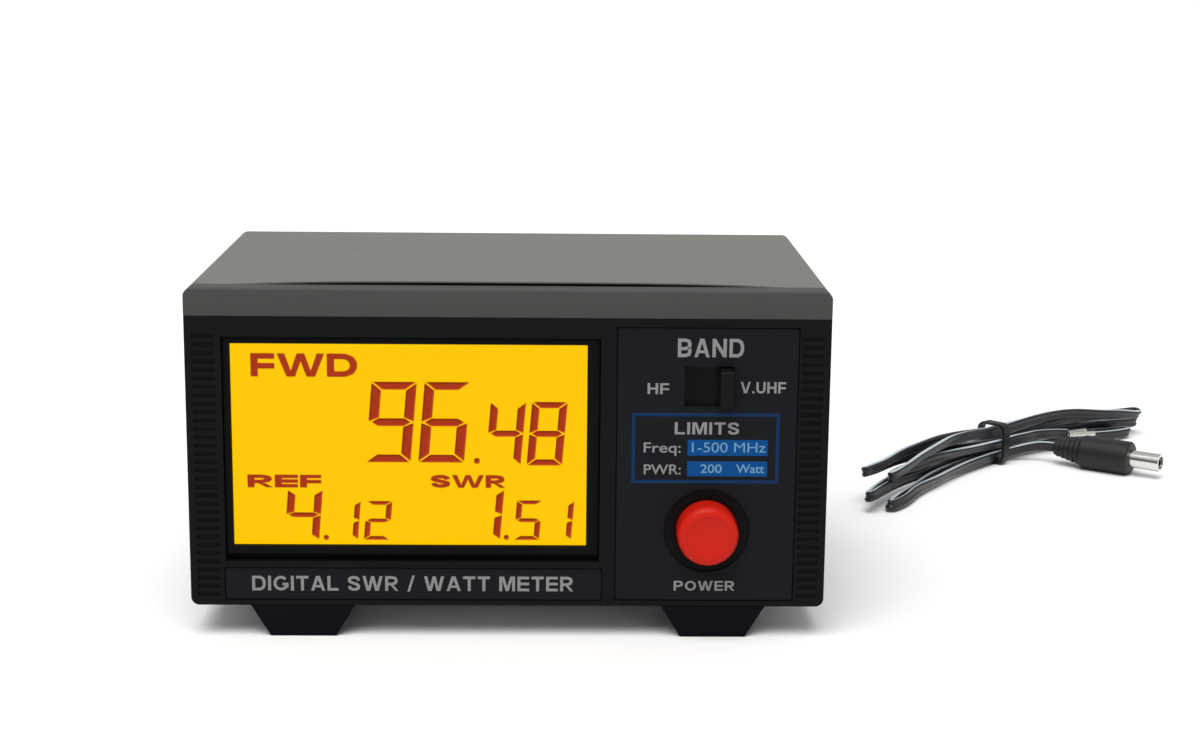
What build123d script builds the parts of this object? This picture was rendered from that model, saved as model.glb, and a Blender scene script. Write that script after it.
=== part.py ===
"""Digital SWR and power meter for an amateur radio station, with its DC power lead.

Frame: millimetres, +Z up, the front panel faces -Y and +X is to the right of it.
The origin is on the surface the meter stands on, under the middle of the meter.
Depths are measured back from the bezel's front face, in the direction of +Y.
"""

import os
from math import cos, radians, sin, tan

from build123d import *

# ---------------------------------------------------------------- driving dimensions
WIDTH = 150.0  # bezel, brow and cover
FOOT_H = 7.5
BODY_H = 76.0  # underside of the case to the top of the cover
DEPTH = 96.0  # bezel face to the outside of the rear panel
BUTTON_PROUD = 6.0  # red cap, in front of the bezel face
SOCKET_FLANGE_T = 3.0
SOCKET_BARREL = 11.0
FRONT = (BUTTON_PROUD - DEPTH - SOCKET_FLANGE_T - SOCKET_BARREL) / 2  # y of the bezel face

SHEET = 1.0  # folded steel cover
PLATE = 1.2  # chassis
PANEL_T = 1.5  # rear panel
GAP = 0.15  # shadow line between the mouldings and the cover
TOP = FOOT_H + BODY_H
HALF = WIDTH / 2

# Bezel and brow
BEZEL_TOP = 77.0
BEZEL_DEPTH = 6.6
BEZEL_FACE_T = 2.4
BEZEL_WALL = 2.5
BEZEL_CORNER = 2.0
GROOVES = 32
GROOVE_PITCH = 2.0
GROOVE_W = 1.0
GROOVE_DEEP = 0.5
GROOVE_Z0 = 10.4  # centre of the lowest groove
LEFT_GROOVE = (-73.2, -68.0)
RIGHT_GROOVE = (68.2, 73.2)

# Display
WINDOW_X = (-66.5, 21.4)  # opening in the bezel
WINDOW_Z = (18.4, 72.2)
VIEW_X = (-64.7, 18.3)  # part of the display that shows
VIEW_Z = (22.0, 70.5)
FRAME_SET = 0.8  # display frame, behind the bezel face
FRAME_CLEAR = 0.2
FRAME_FOOT_Z = 20.0  # bottom of the display frame, above a shadow gap
FRAME_LAP = 1.2  # rear flange of the frame, past the opening
FLANGE_T = 1.0
PANE_LAP = 1.0
GLASS_T = 2.0
BOARD_AT = 10.5  # front of the display board
BOARD_T = 1.6

# Control panel and label strip
CONTROL_X = (25.1, 67.6)
CONTROL_Z = (9.0, 75.0)
STRIP_X = (-66.9, 22.2)
STRIP_Z = (8.9, 16.9)
INLAY_DEEP = 0.9
INLAY_T = 0.7
INLAY_CLEAR = 0.2

# Power button, its switch and the band selector
BUTTON_X, BUTTON_Z = 46.8, 26.2
BUTTON_R = 7.3
BUTTON_HOLE_R = 7.6
RING_R = 10.1
SLOT_X = (41.0, 52.4)
SLOT_Z = (56.2, 65.7)
KNOB_X = (49.0, 52.2)
KNOB_Z = (56.6, 65.3)
KNOB_PROUD = 4.0
SELECTOR_TRAVEL = 7.4

# Feet
FRONT_FOOT_X = 48.6
FOOT_TOP_W, FOOT_BASE_W = 24.6, 15.4
FOOT_DEPTH = 20.0
FRONT_SCREW_AT = 16.0
REAR_FOOT_X, REAR_FOOT_AT, REAR_FOOT_R = 60.0, 84.0, 7.5

# Rear panel: two couplers with two coaxial sockets each, and the DC jack
SOCKETS = {"hf_tx": -54.0, "hf_ant": -22.0, "vuhf_tx": 14.0, "vuhf_ant": 46.0}
SOCKET_Z = 50.0
FLANGE_W = 25.4
FLANGE_HOLES = 18.2
THREAD_R = 7.9
SOCKET_BORE_R = 6.2
CONTACT_R, CONTACT_BORE_R = 2.75, 2.0
JACK_X, JACK_Z = 64.0, 28.0
JACK_BORE_R, JACK_PIN_R = 3.0, 1.0

# M3 and M2.5 hardware
M3_R, M3_CLEAR_R, M3_HEAD_R, M3_HEAD_H = 1.5, 1.7, 2.8, 1.3
NUT_FLATS, NUT_T = 5.5, 2.4
M25_R, M25_HEAD_R, M25_HEAD_H = 1.2, 2.2, 1.6

# DC power lead, lying to the right of the meter
LEAD_D = 3.6  # width of the flat twin lead
HANK_YAW = 58.5  # degrees from +X, at the hank's start
HANK_TURN = 30.0  # degrees that it bends to the right along its length
HANK_LENGTH = 148.0
HANK_START = (103.0, FRONT + 116.0)
TIE_AT = 76.0
TIE_W = 3.0
TIE_T = 0.9
PLUG_YAW = -36.0
PLUG_R = 5.25
PLUG_BARREL_R, PLUG_BARREL_L = 2.75, 9.5
# From where the lead enters the plug to where it goes under the tie
TAIL_ROUTE = [
    (170.9, 121.9, 5.25),
    (167.3, 124.5, 5.25),
    (163.3, 125.8, 4.4),
    (159.1, 125.5, 3.5),
    (155.2, 123.9, 2.9),
    (150.9, 119.8, 2.8),
]

os.makedirs("parts", exist_ok=True)


# ---------------------------------------------------------------- helpers
def face_plane(depth):
    """A plane parallel to the front panel: x right, y up, and extruding -amount goes back."""
    return Plane.XZ.offset(-(FRONT + depth))


def block(x, depth, z, mode=Mode.ADD):
    """A box between two corners, given as (low, high) pairs."""
    with Locations((x[0], FRONT + depth[0], z[0])):
        Box(x[1] - x[0], depth[1] - depth[0], z[1] - z[0], align=(Align.MIN,) * 3, mode=mode)


def rod_back(x, z, depth, radius, mode=Mode.ADD):
    """A cylinder along +Y between two depths."""
    with Locations(Location((x, FRONT + depth[0], z), (-90, 0, 0))):
        Cylinder(radius, depth[1] - depth[0], align=(Align.CENTER, Align.CENTER, Align.MIN), mode=mode)


def rod_across(x, depth, z, radius, mode=Mode.ADD):
    """A cylinder along X between two values of x."""
    with Locations(Location((min(x), FRONT + depth, z), (0, 90, 0))):
        Cylinder(radius, abs(x[1] - x[0]), align=(Align.CENTER, Align.CENTER, Align.MIN), mode=mode)


def rod_up(x, depth, z, radius, mode=Mode.ADD):
    """An upright cylinder between two heights."""
    with Locations((x, FRONT + depth, z[0])):
        Cylinder(radius, z[1] - z[0], align=(Align.CENTER, Align.CENTER, Align.MIN), mode=mode)


def save(builder, name):
    """Label a finished piece and write its file."""
    builder.part.label = name
    export_step(builder.part, f"parts/{name}.step")


def grown(pair, margin):
    """A (low, high) pair made longer by the margin at each end."""
    return (pair[0] - margin, pair[1] + margin)


def middle(pair):
    return (pair[0] + pair[1]) / 2


# ---------------------------------------------------------------- front mouldings
BOSSES = [(-66.0, 13.2), (24.5, 13.2), (66.0, 13.2), (27.5, 71.0), (65.0, 71.0), (-70.1, 60.0)]
BOSS_R, BOSS_PILOT_R, PILOT_FLOOR = 2.2, 1.25, 4.0
TONGUE_T = 2.6
TONGUE_W = 12.0

with BuildPart() as front_bezel:
    with BuildSketch(face_plane(0)) as bezel_outline:
        with Locations((0, (FOOT_H + BEZEL_TOP) / 2)):
            Rectangle(WIDTH, BEZEL_TOP - FOOT_H)
        fillet(bezel_outline.vertices().group_by(Axis.Y)[0], BEZEL_CORNER)
    extrude(amount=-BEZEL_DEPTH)
    fillet(front_bezel.faces().sort_by(Axis.Y)[0].edges().group_by(Axis.Z)[0], 0.6)
    block(
        (-HALF + BEZEL_WALL, HALF - BEZEL_WALL),
        (BEZEL_FACE_T, BEZEL_DEPTH),
        (FOOT_H + BEZEL_WALL, BEZEL_TOP - BEZEL_WALL),
        Mode.SUBTRACT,
    )
    block(WINDOW_X, (0, BEZEL_FACE_T), WINDOW_Z, Mode.SUBTRACT)
    block(CONTROL_X, (0, INLAY_DEEP), CONTROL_Z, Mode.SUBTRACT)
    block(STRIP_X, (0, INLAY_DEEP), STRIP_Z, Mode.SUBTRACT)
    block(SLOT_X, (0, BEZEL_FACE_T), SLOT_Z, Mode.SUBTRACT)
    rod_back(BUTTON_X, BUTTON_Z, (0, BEZEL_FACE_T), BUTTON_HOLE_R, Mode.SUBTRACT)
    # Finger grooves down both sides of the face
    for groove_x in (LEFT_GROOVE, RIGHT_GROOVE):
        with BuildSketch(face_plane(0)):
            with Locations((middle(groove_x), GROOVE_Z0 + (GROOVES - 1) * GROOVE_PITCH / 2)):
                with GridLocations(0, GROOVE_PITCH, 1, GROOVES):
                    Rectangle(groove_x[1] - groove_x[0], GROOVE_W)
        extrude(amount=-GROOVE_DEEP, mode=Mode.SUBTRACT)
    # Bosses that carry the display board, and tongues over the chassis at the front feet
    for boss_x, boss_z in BOSSES:
        rod_back(boss_x, boss_z, (BEZEL_FACE_T - 0.5, BOARD_AT), BOSS_R)
        rod_back(boss_x, boss_z, (PILOT_FLOOR, BOARD_AT), BOSS_PILOT_R, Mode.SUBTRACT)
    for side in (-1, 1):
        block(
            grown((side * FRONT_FOOT_X,) * 2, TONGUE_W / 2),
            (BEZEL_DEPTH - 2, FRONT_SCREW_AT + 5),
            (FOOT_H + PLATE + 0.1, FOOT_H + PLATE + 0.1 + TONGUE_T),
        )
        rod_up(side * FRONT_FOOT_X, FRONT_SCREW_AT, (FOOT_H, BEZEL_TOP / 2), M3_CLEAR_R, Mode.SUBTRACT)
save(front_bezel, "front_bezel")

with BuildPart() as brow_trim:
    with BuildSketch(face_plane(0)) as brow_outline:
        with Locations((0, (BEZEL_TOP + TOP) / 2)):
            Rectangle(WIDTH, TOP - BEZEL_TOP)
        fillet(brow_outline.vertices().group_by(Axis.Y)[-1], 2.0)
    extrude(amount=-BEZEL_DEPTH)
    fillet(brow_trim.faces().sort_by(Axis.Y)[0].edges().sort_by(Axis.Z)[-1], 0.5)
    # Dark tongue that the cover laps
    block((-70, 70), (BEZEL_DEPTH - 1, BEZEL_DEPTH + 6), (BEZEL_TOP + 1, TOP - SHEET - 0.6))
save(brow_trim, "brow_trim")

with BuildPart() as control_panel:
    with BuildSketch(face_plane(INLAY_DEEP)) as control_outline:
        with Locations((middle(CONTROL_X), middle(CONTROL_Z))):
            Rectangle(
                CONTROL_X[1] - CONTROL_X[0] - 2 * INLAY_CLEAR,
                CONTROL_Z[1] - CONTROL_Z[0] - 2 * INLAY_CLEAR,
            )
        fillet(control_outline.vertices(), 0.6)
        with Locations((BUTTON_X, BUTTON_Z)):
            Circle(RING_R, mode=Mode.SUBTRACT)
        with Locations((middle(SLOT_X), middle(SLOT_Z))):
            Rectangle(SLOT_X[1] - SLOT_X[0], SLOT_Z[1] - SLOT_Z[0], mode=Mode.SUBTRACT)
    extrude(amount=INLAY_T)
save(control_panel, "control_panel")

with BuildPart() as label_strip:
    with BuildSketch(face_plane(INLAY_DEEP)) as strip_outline:
        with Locations((middle(STRIP_X), middle(STRIP_Z))):
            Rectangle(
                STRIP_X[1] - STRIP_X[0] - 2 * INLAY_CLEAR,
                STRIP_Z[1] - STRIP_Z[0] - 2 * INLAY_CLEAR,
            )
        fillet(strip_outline.vertices(), 0.6)
    extrude(amount=INLAY_T)
save(label_strip, "label_strip")

# ---------------------------------------------------------------- display stack
FLANGE_X = grown(WINDOW_X, FRAME_LAP)
FLANGE_Z = grown(WINDOW_Z, FRAME_LAP)
PANE_X = grown(VIEW_X, PANE_LAP)
PANE_Z = grown(VIEW_Z, PANE_LAP)
GLASS_AT = BEZEL_FACE_T + FLANGE_T + 0.1
GLASS_X = (-66.5, 20.5)
GLASS_Z = (20.5, 72.0)
BACKLIGHT_Z = (24.2, 68.4)
STRIP_ROWS = ((20.9, 23.6), (69.0, 71.7))

with BuildPart() as lcd_frame:
    block(
        (WINDOW_X[0] + FRAME_CLEAR, WINDOW_X[1] - FRAME_CLEAR),
        (FRAME_SET, BEZEL_FACE_T),
        (FRAME_FOOT_Z, WINDOW_Z[1] - FRAME_CLEAR),
    )
    block(FLANGE_X, (BEZEL_FACE_T, BEZEL_FACE_T + FLANGE_T), FLANGE_Z)
    block(VIEW_X, (FRAME_SET, BEZEL_FACE_T), VIEW_Z, Mode.SUBTRACT)
    block(PANE_X, (BEZEL_FACE_T, BEZEL_FACE_T + FLANGE_T), PANE_Z, Mode.SUBTRACT)
save(lcd_frame, "lcd_frame")

with BuildPart() as lcd_window:
    block(
        grown(PANE_X, -0.1),
        (BEZEL_FACE_T + 0.05, BEZEL_FACE_T + FLANGE_T - 0.05),
        grown(PANE_Z, -0.1),
    )
save(lcd_window, "lcd_window")

with BuildPart() as lcd_glass:
    block(GLASS_X, (GLASS_AT, GLASS_AT + GLASS_T), GLASS_Z)
save(lcd_glass, "lcd_glass")

with BuildPart() as lcd_backlight:
    block(grown(GLASS_X, -1), (GLASS_AT + GLASS_T, BOARD_AT - 1.6), BACKLIGHT_Z)
    # Lamp tab at the right-hand end
    block((GLASS_X[1] - 1, GLASS_X[1] + 2), (GLASS_AT + GLASS_T + 0.6, BOARD_AT - 2), (38, 54))
save(lcd_backlight, "lcd_backlight")

with BuildPart() as lcd_contact_strips:
    for row in STRIP_ROWS:
        block(grown(GLASS_X, -2.5), (GLASS_AT + GLASS_T, BOARD_AT), row)
save(lcd_contact_strips, "lcd_contact_strips")

# ---------------------------------------------------------------- power button and switch
PLUNGER_HALF = 2.0
PLUNGER_FIT = 0.05
SWITCH_AT = (BOARD_AT + BOARD_T, BOARD_AT + BOARD_T + 14.0)
SWITCH_HALF = 6.0
SPRING_ROOM = (SWITCH_AT[0] + 2.0, SWITCH_AT[1] - 1.0)
COLLAR = (SPRING_ROOM[0] + 0.4, SPRING_ROOM[0] + 1.9)
SPRING_R, SPRING_WIRE_R, SPRING_TURNS = 2.9, 0.25, 5

with BuildPart() as power_button:
    rod_back(BUTTON_X, BUTTON_Z, (-BUTTON_PROUD, 5.5), BUTTON_R)
    fillet(power_button.faces().sort_by(Axis.Y)[0].edges(), 1.3)
    # Shoulder that keeps the cap behind the bezel
    rod_back(BUTTON_X, BUTTON_Z, (BEZEL_FACE_T + 0.3, BEZEL_FACE_T + 1.8), BUTTON_HOLE_R + 1.2)
    block(
        grown((BUTTON_X,) * 2, PLUNGER_HALF + PLUNGER_FIT),
        (-2.0, 5.5),
        grown((BUTTON_Z,) * 2, PLUNGER_HALF + PLUNGER_FIT),
        Mode.SUBTRACT,
    )
save(power_button, "power_button")

with BuildPart() as power_switch_plunger:
    block(
        grown((BUTTON_X,) * 2, PLUNGER_HALF),
        (-2.0, COLLAR[0]),
        grown((BUTTON_Z,) * 2, PLUNGER_HALF),
    )
    rod_back(BUTTON_X, BUTTON_Z, COLLAR, 3.9)
    rod_back(BUTTON_X, BUTTON_Z, (COLLAR[1], COLLAR[1] + 4.0), 2.0)
save(power_switch_plunger, "power_switch_plunger")

with BuildPart() as power_switch_body:
    block(
        grown((BUTTON_X,) * 2, SWITCH_HALF),
        SWITCH_AT,
        grown((BUTTON_Z,) * 2, SWITCH_HALF),
    )
    rod_back(BUTTON_X, BUTTON_Z, SPRING_ROOM, 4.3, Mode.SUBTRACT)
    block(
        grown((BUTTON_X,) * 2, PLUNGER_HALF + 0.15),
        (SWITCH_AT[0], SPRING_ROOM[0]),
        grown((BUTTON_Z,) * 2, PLUNGER_HALF + 0.15),
        Mode.SUBTRACT,
    )
    # Six solder tags
    for column in (-4.0, 0.0, 4.0):
        for row in (-4.4, 4.4):
            block(
                grown((BUTTON_X + column,) * 2, 0.5),
                (SWITCH_AT[1], SWITCH_AT[1] + 3.5),
                grown((BUTTON_Z + row,) * 2, 0.2),
            )
save(power_switch_body, "power_switch_body")

SPRING_LENGTH = SPRING_ROOM[1] - COLLAR[1] - 2 * SPRING_WIRE_R
with BuildPart() as power_switch_spring:
    with BuildLine():
        coil = Helix(
            SPRING_LENGTH / SPRING_TURNS,
            SPRING_LENGTH,
            SPRING_R,
            center=(BUTTON_X, FRONT + COLLAR[1] + SPRING_WIRE_R, BUTTON_Z),
            direction=(0, 1, 0),
        )
    with BuildSketch(Plane(origin=coil @ 0, z_dir=coil % 0)):
        Circle(SPRING_WIRE_R)
    sweep(path=coil, is_frenet=True)
save(power_switch_spring, "power_switch_spring")

# ---------------------------------------------------------------- band selector
CARRIAGE_AT = (BEZEL_FACE_T + 0.2, BEZEL_FACE_T + 1.2)
SELECTOR_AT = (BEZEL_FACE_T + 1.6, BOARD_AT)
STEM_X = grown((middle(KNOB_X),) * 2, 1.2)
STEM_Z = grown((middle(SLOT_Z),) * 2, 1.5)
STEM_END = SELECTOR_AT[0] + 2.6

with BuildPart() as band_switch_knob:
    block(
        (SLOT_X[0] - 0.5, SLOT_X[1] + 0.5 + SELECTOR_TRAVEL),
        CARRIAGE_AT,
        grown(SLOT_Z, 1.2),
    )
    # Finger scoop beside the grip
    with Locations((middle((SLOT_X[0], KNOB_X[0])), FRONT + CARRIAGE_AT[0] - 7.4, middle(SLOT_Z))):
        Cylinder(8.0, SLOT_Z[1] - SLOT_Z[0], mode=Mode.SUBTRACT)
    block(KNOB_X, (-KNOB_PROUD, CARRIAGE_AT[0] + 0.5), KNOB_Z)
    fillet(band_switch_knob.faces().sort_by(Axis.Y)[0].edges(), 0.5)
    block(STEM_X, (CARRIAGE_AT[1], STEM_END), STEM_Z)
save(band_switch_knob, "band_switch_knob")

with BuildPart() as band_switch_body:
    block(
        grown((middle(SLOT_X),) * 2, 11.0),
        SELECTOR_AT,
        grown((middle(SLOT_Z),) * 2, 6.0),
    )
    block(
        (STEM_X[0] - SELECTOR_TRAVEL - 0.3, STEM_X[1] + 0.3),
        (SELECTOR_AT[0], STEM_END + 0.4),
        grown(STEM_Z, 0.3),
        Mode.SUBTRACT,
    )
save(band_switch_body, "band_switch_body")

# ---------------------------------------------------------------- display board
BOARD_BACK = BOARD_AT + BOARD_T
TRIMMERS = {"fwd": -50.0, "ref": -34.0}
TRIMMER_Z = 61.0
TRIMMER_FIT = 0.05
ROTOR_R, ROTOR_T = 2.6, 1.6
TRIMMER_T = 5.0
HEADERS = [(-30.0, 40.0), (14.0, 40.0), (31.0, 47.0)]
HEADER_W, HEADER_H, HEADER_T = 9.0, 5.0, 6.0

with BuildPart() as display_board:
    block((-71.0, 71.0), (BOARD_AT, BOARD_BACK), (12.0, 75.0))
    rod_back(BUTTON_X, BUTTON_Z, (BOARD_AT, BOARD_BACK), 4.5, Mode.SUBTRACT)
    for boss_x, boss_z in BOSSES:
        rod_back(boss_x, boss_z, (BOARD_AT, BOARD_BACK), M25_R + 0.2, Mode.SUBTRACT)
save(display_board, "display_board")

with BuildPart() as board_screws:
    for boss_x, boss_z in BOSSES:
        rod_back(boss_x, boss_z, (PILOT_FLOOR + 0.5, BOARD_BACK), M25_R)
        rod_back(boss_x, boss_z, (BOARD_BACK, BOARD_BACK + M25_HEAD_H), M25_HEAD_R)
save(board_screws, "board_screws")

with BuildPart() as controller_chip:
    with BuildSketch(face_plane(BOARD_BACK + 0.1)) as chip_outline:
        with Locations((-10, 57)):
            Rectangle(14, 14)
        chamfer(chip_outline.vertices(), 0.8)
    extrude(amount=-1.5)
save(controller_chip, "controller_chip")

with BuildPart() as voltage_regulator:
    block((56, 66), (BOARD_BACK, BOARD_BACK + 4.5), (40, 49))
    block((56, 66), (BOARD_BACK, BOARD_BACK + 1.3), (49, 55))
save(voltage_regulator, "voltage_regulator")

with BuildPart() as filter_capacitors:
    for capacitor_x in (38.0, 48.0):
        rod_back(capacitor_x, 62.0, (BOARD_BACK, BOARD_BACK + 12.0), 4.0)
save(filter_capacitors, "filter_capacitors")

with BuildPart() as board_headers:
    for header_x, header_z in HEADERS:
        block(
            grown((header_x,) * 2, HEADER_W / 2),
            (BOARD_BACK, BOARD_BACK + HEADER_T),
            grown((header_z,) * 2, HEADER_H / 2),
        )
save(board_headers, "board_headers")

with BuildPart() as trimmer_bodies:
    for trimmer_x in TRIMMERS.values():
        block(
            grown((trimmer_x,) * 2, 4.5),
            (BOARD_BACK, BOARD_BACK + TRIMMER_T),
            grown((TRIMMER_Z,) * 2, 4.5),
        )
        rod_back(
            trimmer_x,
            TRIMMER_Z,
            (BOARD_BACK + TRIMMER_T - ROTOR_T - 0.2, BOARD_BACK + TRIMMER_T),
            ROTOR_R + TRIMMER_FIT,
            Mode.SUBTRACT,
        )
save(trimmer_bodies, "trimmer_bodies")

for trimmer, trimmer_x in TRIMMERS.items():
    with BuildPart() as trimmer_rotor:
        rod_back(
            trimmer_x,
            TRIMMER_Z,
            (BOARD_BACK + TRIMMER_T - ROTOR_T, BOARD_BACK + TRIMMER_T + 0.2),
            ROTOR_R,
        )
        # Screwdriver slot
        block(
            grown((trimmer_x,) * 2, 2.0),
            (BOARD_BACK + TRIMMER_T - 0.6, BOARD_BACK + TRIMMER_T + 0.2),
            grown((TRIMMER_Z,) * 2, 0.4),
            Mode.SUBTRACT,
        )
    save(trimmer_rotor, f"trimmer_rotor_{trimmer}")

# ---------------------------------------------------------------- case
INNER = HALF - SHEET  # inside of the cover's side walls
CHASSIS_HALF = INNER - 0.2
FLANGE_UP = 12.5
SIDE_FLANGE = (14.0, 90.0)
CHASSIS_END = DEPTH - PANEL_T - 0.1
COVER_SCREW_DEPTHS = (32.0, 76.0)
CASE_SCREW_Z = 15.0
REAR_SCREW_X = 52.0
BOW = 1.4  # how far the cover's front edge stands back at its middle
BOW_HALF = 60.0

with BuildPart() as top_cover:
    with BuildSketch(face_plane(BEZEL_DEPTH + GAP)) as cover_outline:
        with Locations((0, (FOOT_H + TOP) / 2)):
            Rectangle(WIDTH, TOP - FOOT_H)
        fillet(cover_outline.vertices().group_by(Axis.Y)[-1], 2.0)
        with Locations((0, (FOOT_H + TOP - SHEET) / 2)):
            Rectangle(2 * INNER, TOP - SHEET - FOOT_H, mode=Mode.SUBTRACT)
    extrude(amount=-(DEPTH - BEZEL_DEPTH - GAP))
    # The front edge bows back in the middle, where it stands a little off the brow
    with BuildSketch(Plane.XY.offset(TOP - SHEET)):
        with BuildLine():
            front_edge = FRONT + BEZEL_DEPTH + GAP
            ThreePointArc((-BOW_HALF, front_edge), (0, front_edge + BOW), (BOW_HALF, front_edge))
            Polyline(
                (BOW_HALF, front_edge),
                (BOW_HALF, front_edge - 1),
                (-BOW_HALF, front_edge - 1),
                (-BOW_HALF, front_edge),
            )
        make_face()
    extrude(amount=SHEET, mode=Mode.SUBTRACT)
    for screw_depth in COVER_SCREW_DEPTHS:
        rod_across((-HALF, HALF), screw_depth, CASE_SCREW_Z, M3_CLEAR_R, Mode.SUBTRACT)
save(top_cover, "top_cover")

with BuildPart() as bottom_chassis:
    block(
        (-CHASSIS_HALF, CHASSIS_HALF),
        (BEZEL_DEPTH + GAP, CHASSIS_END),
        (FOOT_H, FOOT_H + PLATE),
    )
    for side in (-1, 1):
        outer = side * CHASSIS_HALF
        inner = side * (CHASSIS_HALF - PLATE)
        block((min(outer, inner), max(outer, inner)), SIDE_FLANGE, (FOOT_H, FOOT_H + FLANGE_UP))
    block((-68.0, 68.0), (CHASSIS_END - PLATE, CHASSIS_END), (FOOT_H, FOOT_H + FLANGE_UP))
    for screw_depth in COVER_SCREW_DEPTHS:
        rod_across((-HALF, HALF), screw_depth, CASE_SCREW_Z, M3_R + 0.05, Mode.SUBTRACT)
    for side in (-1, 1):
        rod_up(side * FRONT_FOOT_X, FRONT_SCREW_AT, (FOOT_H, FOOT_H + PLATE), M3_CLEAR_R, Mode.SUBTRACT)
        rod_up(side * REAR_FOOT_X, REAR_FOOT_AT, (FOOT_H, FOOT_H + PLATE), M3_CLEAR_R, Mode.SUBTRACT)
        rod_back(
            side * REAR_SCREW_X, CASE_SCREW_Z, (CHASSIS_END - PLATE, CHASSIS_END), M3_R + 0.05, Mode.SUBTRACT
        )
save(bottom_chassis, "bottom_chassis")

JACK_SHANK_R = 5.5
with BuildPart() as rear_panel:
    with BuildSketch(face_plane(DEPTH)):
        with Locations((0, (FOOT_H + TOP - SHEET) / 2)):
            Rectangle(2 * INNER - 0.6, TOP - SHEET - FOOT_H - 0.6)
        for socket_x in SOCKETS.values():
            with Locations((socket_x, SOCKET_Z)):
                Circle(THREAD_R, mode=Mode.SUBTRACT)
                with GridLocations(FLANGE_HOLES, FLANGE_HOLES, 2, 2):
                    Circle(M3_CLEAR_R, mode=Mode.SUBTRACT)
        with Locations((JACK_X, JACK_Z)):
            Circle(JACK_SHANK_R + 0.1, mode=Mode.SUBTRACT)
        with Locations((-REAR_SCREW_X, CASE_SCREW_Z), (REAR_SCREW_X, CASE_SCREW_Z)):
            Circle(M3_CLEAR_R, mode=Mode.SUBTRACT)
    extrude(amount=PANEL_T)
save(rear_panel, "rear_panel")

# ---------------------------------------------------------------- feet
FOOT_BORE_R, FOOT_BORE_Z = 3.4, 4.0
FOOT_SCREW_END = 14.6


def foot_screw_way(x, depth):
    """Counterbore and clearance hole for the screw that holds a foot."""
    rod_up(x, depth, (0, FOOT_BORE_Z), FOOT_BORE_R, Mode.SUBTRACT)
    rod_up(x, depth, (FOOT_BORE_Z, FOOT_H), M3_CLEAR_R, Mode.SUBTRACT)


for side, side_name in ((-1, "left"), (1, "right")):
    with BuildPart() as front_foot:
        with BuildSketch(face_plane(0.2)):
            with BuildLine():
                Polyline(
                    (side * FRONT_FOOT_X - FOOT_BASE_W / 2, 0),
                    (side * FRONT_FOOT_X + FOOT_BASE_W / 2, 0),
                    (side * FRONT_FOOT_X + FOOT_TOP_W / 2, FOOT_H),
                    (side * FRONT_FOOT_X - FOOT_TOP_W / 2, FOOT_H),
                    close=True,
                )
            make_face()
        extrude(amount=-FOOT_DEPTH)
        foot_screw_way(side * FRONT_FOOT_X, FRONT_SCREW_AT)
    save(front_foot, f"front_foot_{side_name}")

with BuildPart() as rear_feet:
    for side in (-1, 1):
        with BuildSketch(Plane.XY):
            with Locations((side * REAR_FOOT_X, FRONT + REAR_FOOT_AT)):
                Circle(REAR_FOOT_R - 1.0)
        extrude(amount=FOOT_H, taper=-7.0)
        foot_screw_way(side * REAR_FOOT_X, REAR_FOOT_AT)
save(rear_feet, "rear_feet")

FOOT_SCREWS = [
    (side * x, depth)
    for side in (-1, 1)
    for x, depth in ((FRONT_FOOT_X, FRONT_SCREW_AT), (REAR_FOOT_X, REAR_FOOT_AT))
]
with BuildPart() as foot_screws:
    for screw_x, screw_depth in FOOT_SCREWS:
        rod_up(screw_x, screw_depth, (FOOT_BORE_Z - 2.0, FOOT_BORE_Z), M3_HEAD_R)
        rod_up(screw_x, screw_depth, (FOOT_BORE_Z, FOOT_SCREW_END), M3_R)
save(foot_screws, "foot_screws")

# ---------------------------------------------------------------- case screws and nuts
with BuildPart() as case_screws:
    for side in (-1, 1):
        for screw_depth in COVER_SCREW_DEPTHS:
            rod_across((side * 69.0, side * HALF), screw_depth, CASE_SCREW_Z, M3_R)
            rod_across((side * HALF, side * (HALF + M3_HEAD_H)), screw_depth, CASE_SCREW_Z, M3_HEAD_R)
        rod_back(side * REAR_SCREW_X, CASE_SCREW_Z, (DEPTH - 6, DEPTH), M3_R)
        rod_back(side * REAR_SCREW_X, CASE_SCREW_Z, (DEPTH, DEPTH + M3_HEAD_H), M3_HEAD_R)
save(case_screws, "case_screws")

BOX_WALL = 1.0
BOX_BACK = DEPTH - PANEL_T - 0.1  # outside of the coupler boxes' rear walls
SOCKET_SCREW_END = BOX_BACK - BOX_WALL - NUT_T - 0.6
SOCKET_SCREWS = [
    (socket_x + dx, SOCKET_Z + dz)
    for socket_x in SOCKETS.values()
    for dx in (-FLANGE_HOLES / 2, FLANGE_HOLES / 2)
    for dz in (-FLANGE_HOLES / 2, FLANGE_HOLES / 2)
]

with BuildPart() as socket_screws:
    for screw_x, screw_z in SOCKET_SCREWS:
        rod_back(screw_x, screw_z, (SOCKET_SCREW_END, DEPTH + SOCKET_FLANGE_T), M3_R)
        rod_back(
            screw_x,
            screw_z,
            (DEPTH + SOCKET_FLANGE_T, DEPTH + SOCKET_FLANGE_T + 1.6),
            M3_HEAD_R,
        )
save(socket_screws, "socket_screws")

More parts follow.
